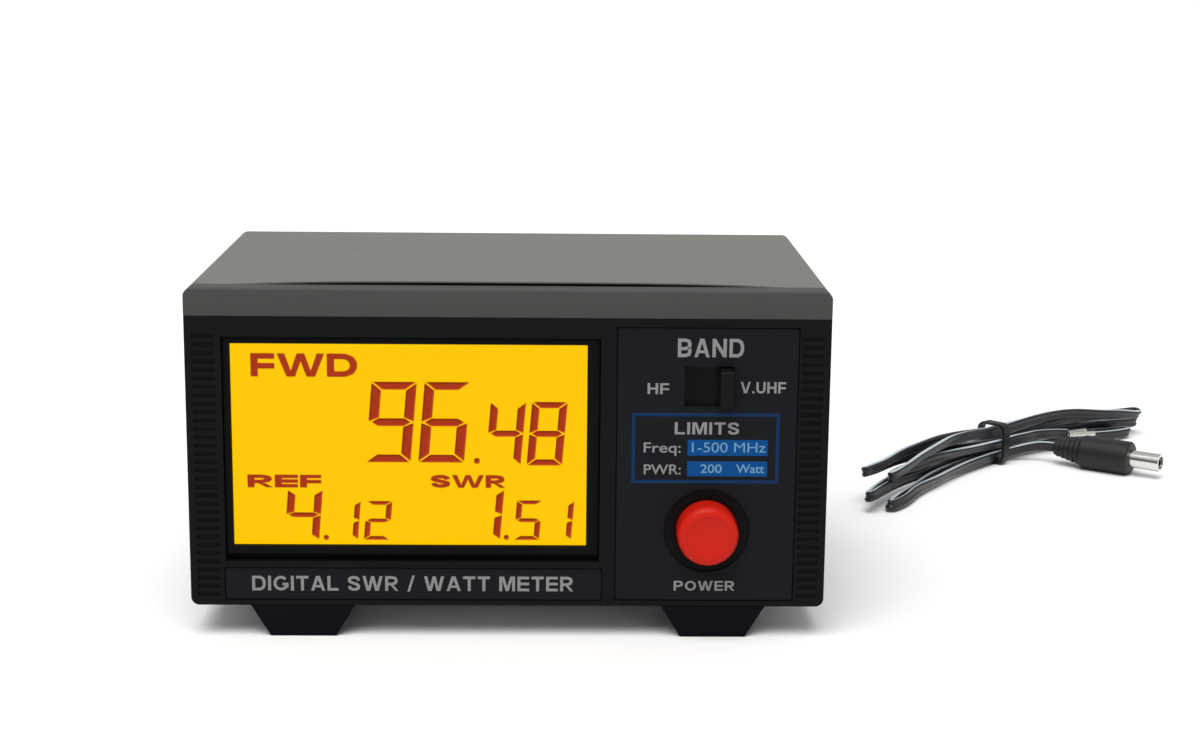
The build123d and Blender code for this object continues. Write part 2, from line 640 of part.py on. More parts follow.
TONGUE_TOP = FOOT_H + PLATE + 0.1 + TONGUE_T
with BuildPart() as m3_nuts:
    with BuildSketch(face_plane(BOX_BACK - BOX_WALL)):
        with Locations(*SOCKET_SCREWS):
            RegularPolygon(NUT_FLATS / 2, 6, major_radius=False)
            Circle(M3_R, mode=Mode.SUBTRACT)
    extrude(amount=NUT_T)
    for screw_x, screw_depth in FOOT_SCREWS:
        nut_z = TONGUE_TOP if screw_depth == FRONT_SCREW_AT else FOOT_H + PLATE
        with BuildSketch(Plane.XY.offset(nut_z)):
            with Locations((screw_x, FRONT + screw_depth)):
                RegularPolygon(NUT_FLATS / 2, 6, major_radius=False)
                Circle(M3_R, mode=Mode.SUBTRACT)
        extrude(amount=NUT_T)
save(m3_nuts, "m3_nuts")

# ---------------------------------------------------------------- coaxial sockets
FLANGE_AT = DEPTH
BARREL_AT = FLANGE_AT + SOCKET_FLANGE_T
BARREL_END = BARREL_AT + SOCKET_BARREL
FLANGE_CORNER_R = 1.6
SHELL_SEAT_R = 7.5  # the shell is pressed into its flange
SHELL_TAIL_R = 5.9
SHELL_TAIL_AT = BOX_BACK - BOX_WALL - 4.0
INSULATOR_R = 4.6
INSULATOR_FACE = BARREL_END - 7.5
CONTACT_FACE = BARREL_END - 0.8
CONTACT_TAIL = BOX_BACK - 9.0
CONTACT_DEEP, SAW_DEEP, SAW_W = 12.0, 5.5, 0.5
NOTCH_W, NOTCH_DEEP = 2.2, 1.4
COLLAR_T = 1.0  # the insulator's wider front end

with BuildPart() as socket_flanges:
    with BuildSketch(face_plane(BARREL_AT)):
        for socket_x in SOCKETS.values():
            with Locations((socket_x, SOCKET_Z)):
                RectangleRounded(FLANGE_W, FLANGE_W, FLANGE_CORNER_R)
                Circle(SHELL_SEAT_R, mode=Mode.SUBTRACT)
                with GridLocations(FLANGE_HOLES, FLANGE_HOLES, 2, 2):
                    Circle(M3_CLEAR_R, mode=Mode.SUBTRACT)
    extrude(amount=SOCKET_FLANGE_T)
save(socket_flanges, "socket_flanges")

for socket, socket_x in SOCKETS.items():
    with BuildPart() as socket_shell:
        rod_back(socket_x, SOCKET_Z, (BARREL_AT, BARREL_END), THREAD_R)
        rod_back(socket_x, SOCKET_Z, (FLANGE_AT, BARREL_AT), SHELL_SEAT_R)
        rod_back(socket_x, SOCKET_Z, (SHELL_TAIL_AT, FLANGE_AT), SHELL_TAIL_R)
        rod_back(socket_x, SOCKET_Z, (INSULATOR_FACE - COLLAR_T, BARREL_END), SOCKET_BORE_R, Mode.SUBTRACT)
        rod_back(socket_x, SOCKET_Z, (SHELL_TAIL_AT, BARREL_END), INSULATOR_R, Mode.SUBTRACT)
        # Four notches in the mouth key the plug's teeth
        for dx, dz in ((THREAD_R, NOTCH_W / 2), (NOTCH_W / 2, THREAD_R)):
            block(
                grown((socket_x,) * 2, dx),
                (BARREL_END - NOTCH_DEEP, BARREL_END),
                grown((SOCKET_Z,) * 2, dz),
                Mode.SUBTRACT,
            )
    save(socket_shell, f"socket_shell_{socket}")

with BuildPart() as socket_insulators:
    for socket_x in SOCKETS.values():
        rod_back(socket_x, SOCKET_Z, (SHELL_TAIL_AT - COLLAR_T, INSULATOR_FACE), INSULATOR_R)
        rod_back(socket_x, SOCKET_Z, (INSULATOR_FACE - COLLAR_T, INSULATOR_FACE), SOCKET_BORE_R)
        rod_back(socket_x, SOCKET_Z, (SHELL_TAIL_AT - COLLAR_T, INSULATOR_FACE), CONTACT_R, Mode.SUBTRACT)
save(socket_insulators, "socket_insulators")

with BuildPart() as socket_contacts:
    for socket_x in SOCKETS.values():
        rod_back(socket_x, SOCKET_Z, (CONTACT_TAIL, CONTACT_FACE), CONTACT_R)
        hollow = (CONTACT_FACE - CONTACT_DEEP, CONTACT_FACE)
        rod_back(socket_x, SOCKET_Z, hollow, CONTACT_BORE_R, Mode.SUBTRACT)
        # Two saw cuts make four spring fingers
        for dx, dz in ((CONTACT_R, SAW_W / 2), (SAW_W / 2, CONTACT_R)):
            block(
                grown((socket_x,) * 2, dx),
                (CONTACT_FACE - SAW_DEEP, CONTACT_FACE),
                grown((SOCKET_Z,) * 2, dz),
                Mode.SUBTRACT,
            )
save(socket_contacts, "socket_contacts")

# ---------------------------------------------------------------- couplers
COUPLERS = {
    "hf": {"x": (-70.0, -6.0), "z": (33.0, 67.0), "front": 54.0},
    "vuhf": {"x": (-2.0, 62.0), "z": (35.0, 65.0), "front": 66.0},
}
LID_T = 1.0
CABLE_HOLE_R = 1.6
CABLE_Z = 40.0
SHELL_PLAY = 0.1
COUPLER_BOARD_T, COUPLER_BOARD_PLAY = 1.6, 2.0

for coupler, room in COUPLERS.items():
    with BuildPart() as coupler_box:
        block(room["x"], (room["front"], BOX_BACK), room["z"])
        block(
            grown(room["x"], -BOX_WALL),
            (room["front"], BOX_BACK - BOX_WALL),
            grown(room["z"], -BOX_WALL),
            Mode.SUBTRACT,
        )
        for socket, socket_x in SOCKETS.items():
            if socket.startswith(coupler):
                wall = (BOX_BACK - BOX_WALL, BOX_BACK)
                rod_back(socket_x, SOCKET_Z, wall, SHELL_TAIL_R + SHELL_PLAY, Mode.SUBTRACT)
                for dx in (-FLANGE_HOLES / 2, FLANGE_HOLES / 2):
                    for dz in (-FLANGE_HOLES / 2, FLANGE_HOLES / 2):
                        rod_back(socket_x + dx, SOCKET_Z + dz, wall, M3_CLEAR_R, Mode.SUBTRACT)
    save(coupler_box, f"{coupler}_coupler_box")

with BuildPart() as coupler_lids:
    for room in COUPLERS.values():
        lid_at = (room["front"] - LID_T, room["front"])
        block(room["x"], lid_at, room["z"])
        rod_back(middle(room["x"]), CABLE_Z, lid_at, CABLE_HOLE_R, Mode.SUBTRACT)
save(coupler_lids, "coupler_lids")

with BuildPart() as coupler_boards:
    for coupler, board_z, board_back in (("hf", 35.0, BOX_BACK - 6.0), ("vuhf", 43.8, BOX_BACK - 12.0)):
        room = COUPLERS[coupler]
        block(
            grown(room["x"], -BOX_WALL - COUPLER_BOARD_PLAY),
            (room["front"] + COUPLER_BOARD_PLAY, board_back),
            (board_z, board_z + COUPLER_BOARD_T),
        )
save(coupler_boards, "coupler_boards")

LINE_T, LINE_W, LINE_PAST = 2.0, 2.4, 2.0
with BuildPart() as line_bars:
    for first, last in (("hf_tx", "hf_ant"), ("vuhf_tx", "vuhf_ant")):
        block(
            grown((SOCKETS[first], SOCKETS[last]), LINE_PAST),
            (CONTACT_TAIL - LINE_T, CONTACT_TAIL),
            grown((SOCKET_Z,) * 2, LINE_W / 2),
        )
save(line_bars, "line_bars")

TOROID_X = (SOCKETS["hf_tx"] + SOCKETS["hf_ant"]) / 2
TOROID_OUT, TOROID_IN, TOROID_W, TOROID_ROUND = 8.0, 4.5, 6.0, 0.8
with BuildPart() as hf_toroid:
    toroid_x = grown((TOROID_X,) * 2, TOROID_W / 2)
    rod_across(toroid_x, CONTACT_TAIL - LINE_T / 2, SOCKET_Z, TOROID_OUT)
    rod_across(toroid_x, CONTACT_TAIL - LINE_T / 2, SOCKET_Z, TOROID_IN, Mode.SUBTRACT)
    fillet(hf_toroid.edges().filter_by(GeomType.CIRCLE), TOROID_ROUND)
save(hf_toroid, "hf_toroid")

# ---------------------------------------------------------------- DC jack
JACK_END = DEPTH + 3.6
JACK_FLOOR = JACK_END - 11.0  # bottom of the hole that takes the plug
JACK_BLOCK = (DEPTH - PANEL_T - 13.0, DEPTH - PANEL_T)
JACK_BLOCK_R = 6.6
JACK_ROOT_R, JACK_TAG, JACK_PIN_BACK = 1.5, 3.0, 0.8
JACK_NUT_FLATS, JACK_NUT_T = 13.0, 2.2

with BuildPart() as dc_jack_body:
    rod_back(JACK_X, JACK_Z, (JACK_BLOCK[0], JACK_FLOOR), JACK_BLOCK_R)
    rod_back(JACK_X, JACK_Z, (JACK_BLOCK[0], JACK_FLOOR), JACK_ROOT_R, Mode.SUBTRACT)
save(dc_jack_body, "dc_jack_body")

with BuildPart() as dc_jack_sleeve:
    rod_back(JACK_X, JACK_Z, (JACK_FLOOR, JACK_BLOCK[1]), JACK_BLOCK_R)
    rod_back(JACK_X, JACK_Z, (JACK_BLOCK[1], JACK_END), JACK_SHANK_R)
    rod_back(JACK_X, JACK_Z, (JACK_FLOOR, JACK_END), JACK_BORE_R, Mode.SUBTRACT)
save(dc_jack_sleeve, "dc_jack_sleeve")

with BuildPart() as dc_jack_pin:
    rod_back(JACK_X, JACK_Z, (JACK_FLOOR, JACK_END - JACK_PIN_BACK), JACK_PIN_R)
    rod_back(JACK_X, JACK_Z, (JACK_BLOCK[0] - JACK_TAG, JACK_FLOOR), JACK_ROOT_R)
save(dc_jack_pin, "dc_jack_pin")

with BuildPart() as dc_jack_nut:
    with BuildSketch(face_plane(DEPTH + JACK_NUT_T)):
        with Locations((JACK_X, JACK_Z)):
            RegularPolygon(JACK_NUT_FLATS / 2, 6, major_radius=False)
            Circle(JACK_SHANK_R, mode=Mode.SUBTRACT)
    extrude(amount=JACK_NUT_T)
save(dc_jack_nut, "dc_jack_nut")


# ---------------------------------------------------------------- wires and cords
def corner_radii(points):
    """The arc radius at each corner: 0.45 of the shorter run over the tangent of half the turn."""
    corners = [Vector(*p) for p in points]
    radii = []
    for before, here, after in zip(corners, corners[1:], corners[2:]):
        turn = (here - before).get_angle(after - here)
        shorter = min((here - before).length, (after - here).length)
        radii.append(0.45 * shorter / tan(radians(turn) / 2))
    return radii


def tube(points, radius, name):
    """A round tube along straight runs joined by tangent arcs."""
    radii = corner_radii(points)
    print(name, "radii", [round(r, 1) for r in radii])
    with BuildLine() as route:
        FilletPolyline(*points, radius=radii)
    with BuildSketch(Plane(origin=route.line @ 0, z_dir=route.line % 0)) as section:
        Circle(radius)
    sweep(section.sketch, path=route.line)


def inside(x, depth, z):
    """A point given by its depth behind the bezel face."""
    return (x, FRONT + depth, z)


HEADER_BACK = BOARD_BACK + HEADER_T
WIRE_R, SENSE_CABLE_R = 0.9, 1.2
with BuildPart() as dc_wires:
    header_x, header_z = HEADERS[2]
    tube(
        [
            inside(JACK_X, JACK_BLOCK[0] - JACK_TAG, JACK_Z),
            inside(JACK_X - 1, 68, JACK_Z - 1),
            inside(JACK_X - 6, 52, JACK_Z + 1),
            inside(header_x + 12, 38, header_z - 6),
            inside(header_x + 3, 28, header_z - 1),
            inside(header_x + 2.5, HEADER_BACK, header_z),
        ],
        WIRE_R,
        "positive wire",
    )
    tube(
        [
            inside(JACK_X - 4, JACK_BLOCK[0], JACK_Z - 3),
            inside(JACK_X - 6, 68, JACK_Z - 5),
            inside(JACK_X - 12, 54, JACK_Z - 3),
            inside(header_x + 5, 40, header_z - 12),
            inside(header_x - 2, 28, header_z - 2),
            inside(header_x - 2.5, HEADER_BACK, header_z),
        ],
        WIRE_R,
        "negative wire",
    )
save(dc_wires, "dc_wires")

with BuildPart() as sense_cables:
    for (header_x, header_z), room in zip(HEADERS, COUPLERS.values()):
        cable_x = middle(room["x"])
        halfway = middle((room["front"], HEADER_BACK))
        tube(
            [
                inside(cable_x, room["front"] + 2, CABLE_Z),
                inside(cable_x, room["front"] - 7, CABLE_Z - 0.4),
                inside(middle((cable_x, header_x)), halfway, CABLE_Z - 3),
                inside(header_x, HEADER_BACK + 7, header_z - 0.4),
                inside(header_x, HEADER_BACK, header_z),
            ],
            SENSE_CABLE_R,
            "sense cable",
        )
save(sense_cables, "sense_cables")

# ---------------------------------------------------------------- power lead
HANK_R = HANK_LENGTH / radians(HANK_TURN)


def hank_heading(along):
    """The hank's direction at a distance along its arc, in radians from +X."""
    return radians(HANK_YAW) - along / HANK_R


def hank_plane(along, height):
    """A plane across the hank: its x is across the hank, its y is up."""
    start, here = hank_heading(0), hank_heading(along)
    centre = Vector(
        HANK_START[0] + HANK_R * (sin(start) - sin(here)),
        HANK_START[1] + HANK_R * (cos(here) - cos(start)),
        height,
    )
    return Plane(origin=centre, x_dir=(sin(here), -cos(here), 0), z_dir=(-cos(here), -sin(here), 0))


# Distance along the hank, then its width, its height and the height of its middle
HANK_SECTIONS = [
    (0.0, 12.0, 10.0, 5.6),
    (15.0, 17.0, 13.0, 7.2),
    (45.0, 13.0, 12.4, 7.0),
    (TIE_AT, 8.4, 11.2, 6.6),
    (103.0, 12.0, 12.8, 7.4),
    (128.0, 12.0, 12.4, 7.0),
    (HANK_LENGTH, 8.0, 8.4, 5.0),
]
with BuildPart() as lead_hank:
    for along, width, height, mid in HANK_SECTIONS:
        with BuildSketch(hank_plane(along, mid)):
            Ellipse(width / 2, height / 2)
    loft()
save(lead_hank, "lead_hank")

# The tie fits round three rows of the lead
TIE_OPENING, TIE_MID, TIE_CORNER_R = (8.7, 11.5), 6.65, 2.0
with BuildPart() as lead_tie:
    with BuildSketch(hank_plane(TIE_AT - TIE_W / 2, TIE_MID)):
        RectangleRounded(*[side + 2 * TIE_T for side in TIE_OPENING], TIE_CORNER_R + TIE_T)
        RectangleRounded(*TIE_OPENING, TIE_CORNER_R, mode=Mode.SUBTRACT)
    extrude(amount=-TIE_W)
save(lead_tie, "lead_tie")

PLUG_AIM = Vector(cos(radians(PLUG_YAW)), sin(radians(PLUG_YAW)), 0)
REAR = Vector(*TAIL_ROUTE[0])
RELIEF_L, GRIP_L, GRIP_ROUND = 9.0, 16.0, 0.9
RELIEF_R = (2.4, 4.0)
RELIEF_RINGS, RING_PITCH, RING_T = 5, 1.7, 0.9
RING_R, RING_GROWTH = 2.8, 0.36
PLUG_TIP_R, PLUG_TIP_BORE_R, PLUG_TIP_BACK = 2.0, 1.1, 0.4


def plug_plane(along):
    """A plane across the plug, with its normal towards the barrel's tip."""
    return Plane(origin=REAR + PLUG_AIM * along, x_dir=(0, 0, 1), z_dir=PLUG_AIM)


with BuildPart() as lead_plug_body:
    with BuildSketch(plug_plane(0)):
        Circle(RELIEF_R[0])
    with BuildSketch(plug_plane(RELIEF_L)):
        Circle(RELIEF_R[1])
    loft()
    # Moulded rings of the strain relief
    for ring in range(RELIEF_RINGS):
        with BuildSketch(plug_plane(RING_T + ring * RING_PITCH)):
            Circle(RING_R + ring * RING_GROWTH)
        extrude(amount=RING_T)
    with BuildSketch(plug_plane(RELIEF_L)):
        Circle(PLUG_R)
    extrude(amount=GRIP_L)
    rims = lead_plug_body.edges().filter_by(GeomType.CIRCLE)
    fillet(rims.filter_by(lambda rim: abs(rim.radius - PLUG_R) < 0.01), GRIP_ROUND)
save(lead_plug_body, "lead_plug_body")

with BuildPart() as lead_plug_barrel:
    with BuildSketch(plug_plane(RELIEF_L + GRIP_L)):
        Circle(PLUG_BARREL_R)
        Circle(PLUG_TIP_R, mode=Mode.SUBTRACT)
    extrude(amount=PLUG_BARREL_L)
save(lead_plug_barrel, "lead_plug_barrel")

with BuildPart() as lead_plug_tip:
    with BuildSketch(plug_plane(RELIEF_L + GRIP_L)):
        Circle(PLUG_TIP_R)
        Circle(PLUG_TIP_BORE_R, mode=Mode.SUBTRACT)
    extrude(amount=PLUG_BARREL_L - PLUG_TIP_BACK)
save(lead_plug_tip, "lead_plug_tip")

with BuildPart() as lead_tail:
    tube(TAIL_ROUTE, LEAD_D / 2, "lead tail")
save(lead_tail, "lead_tail")

BARE_R, BARE_L, BARE_SPLAY = 0.8, 9.0, 9.0
BARE_AT, BARE_ASIDE, BARE_Z = 108.0, 5.0, 5.6  # along the hank, to the right of its middle, height
BARE_TURN = 16.0  # degrees that the ends point out of the hank
with BuildPart() as lead_bare_ends:
    bare_plane = hank_plane(BARE_AT, BARE_Z)
    for side in (-1, 1):
        root = bare_plane.origin + bare_plane.x_dir * (BARE_ASIDE + side * LEAD_D / 4)
        aim = -bare_plane.z_dir.rotate(Axis.Z, -BARE_TURN - side * BARE_SPLAY)
        with BuildSketch(Plane(origin=root, x_dir=(0, 0, 1), z_dir=aim)):
            Circle(BARE_R)
        extrude(amount=BARE_L)
save(lead_bare_ends, "lead_bare_ends")
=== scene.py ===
"""Looks of the SWR meter and its power lead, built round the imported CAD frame.

Everything is in metres, in the CAD's own frame: +Z up, the front panel faces -Y.
Sizes that the frame doesn't give are written in millimetres and scaled by MM.
"""

import math
import random

import bmesh
import bpy
from mathutils import Matrix, Vector


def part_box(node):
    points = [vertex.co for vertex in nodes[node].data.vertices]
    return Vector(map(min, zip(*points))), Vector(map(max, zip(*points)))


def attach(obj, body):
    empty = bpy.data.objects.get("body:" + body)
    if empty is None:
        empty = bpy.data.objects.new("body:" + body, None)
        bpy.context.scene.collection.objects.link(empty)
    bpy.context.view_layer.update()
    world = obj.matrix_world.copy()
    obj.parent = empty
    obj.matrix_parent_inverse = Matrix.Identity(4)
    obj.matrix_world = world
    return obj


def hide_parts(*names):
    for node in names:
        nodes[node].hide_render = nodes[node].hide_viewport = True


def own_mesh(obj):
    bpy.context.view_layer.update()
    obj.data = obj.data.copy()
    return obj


MM = 0.001
PRINT_T = 0.03  # how far printed marks stand off their surface, in mm
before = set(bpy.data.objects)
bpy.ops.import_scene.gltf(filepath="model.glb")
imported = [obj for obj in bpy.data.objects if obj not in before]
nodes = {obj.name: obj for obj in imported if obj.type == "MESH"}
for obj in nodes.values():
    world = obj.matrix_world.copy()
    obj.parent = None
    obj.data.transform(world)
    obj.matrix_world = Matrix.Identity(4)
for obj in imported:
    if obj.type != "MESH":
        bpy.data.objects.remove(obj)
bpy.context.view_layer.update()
scene = bpy.context.scene

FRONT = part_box("front_bezel")[0].y
EYE = Vector((9.5 * MM, FRONT - 489.1 * MM, 164.3 * MM))


# ---------------------------------------------------------------- camera
def add_camera():
    """The viewpoint: a little above the meter and just right of its middle."""
    yaw, pitch, roll = math.radians(1.37), math.radians(11.7), math.radians(0.6)
    ahead = Vector((math.sin(yaw) * math.cos(pitch), math.cos(yaw) * math.cos(pitch), -math.sin(pitch)))
    level = Vector((math.cos(yaw), -math.sin(yaw), 0))
    above = level.cross(ahead)
    right = level * math.cos(roll) + above * math.sin(roll)
    up = above * math.cos(roll) - level * math.sin(roll)
    data = bpy.data.cameras.new("camera")
    data.sensor_width = 36.0
    data.sensor_fit = "HORIZONTAL"
    data.lens = 64.5
    data.clip_start = 0.01
    camera = bpy.data.objects.new("camera", data)
    camera.matrix_world = Matrix.Translation(EYE) @ Matrix((right, up, -ahead)).transposed().to_4x4()
    scene.collection.objects.link(camera)
    scene.camera = camera


add_camera()


# ---------------------------------------------------------------- mesh helpers
def link(name, mesh, materials=()):
    """A new object for a mesh, with its materials."""
    obj = bpy.data.objects.new(name, mesh)
    scene.collection.objects.link(obj)
    for material in materials:
        mesh.materials.append(material)
    return obj


def from_bmesh(name, bm, materials=()):
    mesh = bpy.data.meshes.new(name)
    bm.to_mesh(mesh)
    bm.free()
    return link(name, mesh, materials)


def smooth(obj, degrees=35):
    """Smooth shading, with the edges sharper than the angle kept crisp."""
    bm = bmesh.new()
    bm.from_mesh(obj.data)
    limit = math.radians(degrees)
    for face in bm.faces:
        face.smooth = True
    for edge in bm.edges:
        edge.smooth = len(edge.link_faces) == 2 and edge.calc_face_angle(0) < limit
    bm.to_mesh(obj.data)
    bm.free()
    return obj


def bevel(bm, width, segments=2, degrees=30):
    """Round every edge that is sharper than the angle."""
    limit = math.radians(degrees)
    sharp = [e for e in bm.edges if len(e.link_faces) == 2 and e.calc_face_angle(0) > limit]
    bmesh.ops.bevel(
        bm, geom=sharp, offset=width, segments=segments, profile=0.5, affect="EDGES", clamp_overlap=True
    )


def eased(node, body, width, material, segments=2):
    """A copy of a CAD node with its edges rounded, which stands for that node."""
    bm = bmesh.new()
    bm.from_mesh(nodes[node].data)
    bmesh.ops.remove_doubles(bm, verts=bm.verts, dist=0.002 * MM)
    bmesh.ops.dissolve_limit(bm, angle_limit=math.radians(0.5), verts=bm.verts, edges=bm.edges)
    bevel(bm, width * MM, segments)
    obj = from_bmesh(node + "_eased", bm, [material])
    smooth(obj, 25)
    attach(obj, body)
    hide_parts(node)
    return obj


def prism(name, outlines, depth, thick, material, body):
    """Flat shapes on a plane parallel to the front panel, given as outlines of (x, z) in mm."""
    bm = bmesh.new()
    for outline in outlines:
        corners = [bm.verts.new((x * MM, depth, z * MM)) for x, z in outline]
        face = bm.faces.new(corners)
        grown = bmesh.ops.extrude_face_region(bm, geom=[face])
        moved = [v for v in grown["geom"] if isinstance(v, bmesh.types.BMVert)]
        bmesh.ops.translate(bm, verts=moved, vec=(0, -thick * MM, 0))
    bmesh.ops.recalc_face_normals(bm, faces=bm.faces)
    obj = from_bmesh(name, bm, [material])
    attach(obj, body)
    return obj


def rectangle(x0, x1, z0, z1):
    return [(x0, z0), (x1, z0), (x1, z1), (x0, z1)]


def apply_curve(curve_obj, name, materials):
    """The mesh of a curve or text object, in place of it."""
    bpy.context.view_layer.update()
    graph = bpy.context.evaluated_depsgraph_get()
    mesh = bpy.data.meshes.new_from_object(curve_obj.evaluated_get(graph))
    mesh.transform(curve_obj.matrix_world)
    mesh.materials.clear()
    bpy.data.objects.remove(curve_obj)
    return link(name, mesh, materials)


def lettering(name, text, x, z, depth, material, weight=0.0):
    """Printed lettering whose low and high corners are given as x and z pairs, in mm."""
    data = bpy.data.curves.new(name, "FONT")
    data.body = text
    data.align_x = "LEFT"
    data.offset = weight
    data.extrude = 0.02
    data.fill_mode = "BOTH"
    obj = bpy.data.objects.new(name, data)
    scene.collection.objects.link(obj)
    obj = apply_curve(obj, name, [material])
    xs = [v.co.x for v in obj.data.vertices]
    ys = [v.co.y for v in obj.data.vertices]
    wide = (x[1] - x[0]) / (max(xs) - min(xs))
    tall = (z[1] - z[0]) / (max(ys) - min(ys))
    for v in obj.data.vertices:
        px, pz = x[0] + (v.co.x - min(xs)) * wide, z[0] + (v.co.y - min(ys)) * tall
        v.co = Vector((px * MM, depth - (PRINT_T * MM if v.co.z > 0 else 0), pz * MM))
    bm = bmesh.new()
    bm.from_mesh(obj.data)
    bmesh.ops.recalc_face_normals(bm, faces=bm.faces)
    bm.to_mesh(obj.data)
    bm.free()
    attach(obj, "case")
    return obj


def lathe(name, profile, centre, axis, materials, segments=64):
    """A turned piece: profile is (along, radius) pairs in mm, round an axis through the centre."""
    axis = Vector(axis).normalized()
    side = axis.orthogonal().normalized()
    other = axis.cross(side)
    bm = bmesh.new()
    rings = []
    for along, radius in profile:
        ring = []
        for step in range(segments):
            turn = 2 * math.pi * step / segments
            out = side * math.cos(turn) + other * math.sin(turn)
            ring.append(bm.verts.new(Vector(centre) + axis * along * MM + out * max(radius, 0.001) * MM))
        rings.append(ring)
    for low, high in zip(rings, rings[1:]):
        for step in range(segments):
            nxt = (step + 1) % segments
            bm.faces.new((low[step], low[nxt], high[nxt], high[step]))
    bm.faces.new(rings[0][::-1])
    bm.faces.new(rings[-1])
    bmesh.ops.remove_doubles(bm, verts=bm.verts, dist=0.002 * MM)
    bmesh.ops.recalc_face_normals(bm, faces=bm.faces)
    return smooth(from_bmesh(name, bm, materials))


# ---------------------------------------------------------------- materials
def material(name, colour, roughness, metallic=0.0, specular=0.5, grain=None, bump=0.0, vary=0.0):
    """A surface with a fine bump and a slow colour change.

    grain is the size of the bump's features in mm, bump its strength, and vary the share by which
    the colour drifts.
    """
    mat = bpy.data.materials.new(name)
    mat.use_nodes = True
    tree = mat.node_tree
    shader = tree.nodes["Principled BSDF"]
    shader.inputs["Base Color"].default_value = (*colour, 1)
    shader.inputs["Roughness"].default_value = roughness
    shader.inputs["Metallic"].default_value = metallic
    shader.inputs["Specular IOR Level"].default_value = specular
    place = tree.nodes.new("ShaderNodeTexCoord").outputs["Object"]
    if vary:
        drifting(tree, noise(tree, place, 45.0, 3), colour, vary, shader.inputs["Base Color"])
    if grain:
        rippled(tree, noise(tree, place, grain, 2), bump, 0.1)
        patchy(
            tree, noise(tree, place, grain * 7, 3), max(0.03, roughness - 0.07), min(1.0, roughness + 0.07),
        )
    return mat


def drifting(tree, marks, colour, vary, socket):
    """Send a colour to the socket that drifts by the share vary each way."""
    blend = tree.nodes.new("ShaderNodeMix")
    blend.data_type = "RGBA"
    blend.inputs["A"].default_value = (*[c * (1 - vary) for c in colour], 1)
    blend.inputs["B"].default_value = (*[min(1, c * (1 + vary)) for c in colour], 1)
    tree.links.new(marks, blend.inputs["Factor"])
    tree.links.new(blend.outputs["Result"], socket)


def rippled(tree, marks, strength, distance):
    """Bump the surface by the marks; distance is their height in mm."""
    relief = tree.nodes.new("ShaderNodeBump")
    relief.inputs["Strength"].default_value = strength
    relief.inputs["Distance"].default_value = distance * MM
    tree.links.new(marks, relief.inputs["Height"])
    tree.links.new(relief.outputs["Normal"], tree.nodes["Principled BSDF"].inputs["Normal"])


def patchy(tree, marks, low, high):
    """Let the roughness go between low and high with the marks."""
    rough = tree.nodes.new("ShaderNodeMapRange")
    rough.inputs["To Min"].default_value = low
    rough.inputs["To Max"].default_value = high
    tree.links.new(marks, rough.inputs["Value"])
    tree.links.new(rough.outputs["Result"], tree.nodes["Principled BSDF"].inputs["Roughness"])


def noise(tree, place, size, detail):
    """A noise texture whose features are about size mm across."""
    node = tree.nodes.new("ShaderNodeTexNoise")
    node.inputs["Scale"].default_value = 1 / (size * MM)
    node.inputs["Detail"].default_value = detail
    tree.links.new(place, node.inputs["Vector"])
    return node.outputs["Fac"]


def brushed(name, colour, roughness, stretch=(1, 1, 40), size=0.25):
    """Metal with fine drawn or turned marks along one direction."""
    mat = material(name, colour, roughness, metallic=1.0)
    tree = mat.node_tree
    place = tree.nodes["Texture Coordinate"].outputs["Object"]
    scale = tree.nodes.new("ShaderNodeMapping")
    scale.inputs["Scale"].default_value = [1 / s for s in stretch]
    tree.links.new(place, scale.inputs["Vector"])
    marks = noise(tree, scale.outputs["Vector"], size, 4)
    rippled(tree, marks, 0.25, 0.05)
    patchy(tree, marks, max(0.05, roughness - 0.1), roughness + 0.12)
    return mat


def glowing(name, colour, vary):
    """A backlit surface, a little uneven from the lamps behind it."""
    mat = bpy.data.materials.new(name)
    mat.use_nodes = True
    tree = mat.node_tree
    shader = tree.nodes["Principled BSDF"]
    shader.inputs["Base Color"].default_value = (*[0.02 * c for c in colour], 1)
    shader.inputs["Roughness"].default_value = 0.6
    shader.inputs["Specular IOR Level"].default_value = 0.0
    shader.inputs["Emission Strength"].default_value = 1.0
    place = tree.nodes.new("ShaderNodeTexCoord").outputs["Object"]
    drifting(tree, noise(tree, place, 30.0, 2), colour, vary, shader.inputs["Emission Color"])
    return mat


BEZEL = material(
    "bezel_plastic", (0.0056, 0.0056, 0.0062), 0.5, specular=0.06, grain=0.35, bump=0.25, vary=0.12,
)
INLAY = material(
    "inlay_plastic", (0.0080, 0.0086, 0.0110), 0.42, specular=0.06, grain=0.5, bump=0.08, vary=0.1,
)
RECESS = material(
    "display_frame_plastic", (0.0040, 0.0040, 0.0044), 0.55, specular=0.05, grain=0.4, bump=0.2, vary=0.1,
)
COVER = material("cover_paint", (0.152, 0.152, 0.132), 0.5, specular=0.25, grain=0.55, bump=0.2, vary=0.02)
# The brow's grey is the cover's paint, darkened here about threefold as painted shade for its front face,
# which gets less of the light from above
BROW_PAINTED_SHADE = material("brow_paint", (0.054, 0.058, 0.053), 0.48, specular=0.12, grain=0.55, bump=0.15, vary=0.03)
REAR = material("rear_paint", (0.012, 0.012, 0.013), 0.5, specular=0.3, grain=0.6, bump=0.4, vary=0.08)
CHASSIS = brushed("chassis_steel", (0.5, 0.51, 0.52), 0.38, stretch=(40, 1, 1))
FOOT = material("foot_plastic", (0.0034, 0.0031, 0.0056), 0.6, specular=0.05, grain=0.4, bump=0.3, vary=0.1)
RUBBER = material("foot_rubber", (0.012, 0.012, 0.012), 0.85, specular=0.2, grain=0.3, bump=0.4, vary=0.1)
BUTTON = material("button_red", (0.50, 0.012, 0.005), 0.36, specular=0.12, grain=1.1, bump=0.05, vary=0.04)
# Black plastic, made darker than the bezel's black as painted shade for the knob's place down in its slot
KNOB_PAINTED_SHADE = material("knob_plastic", (0.0046, 0.0046, 0.0050), 0.5, specular=0.1, grain=0.3, bump=0.2, vary=0.1)
PRINT = material("panel_print", (0.22, 0.22, 0.22), 0.55, specular=0.1, grain=0.2, bump=0.1, vary=0.06)
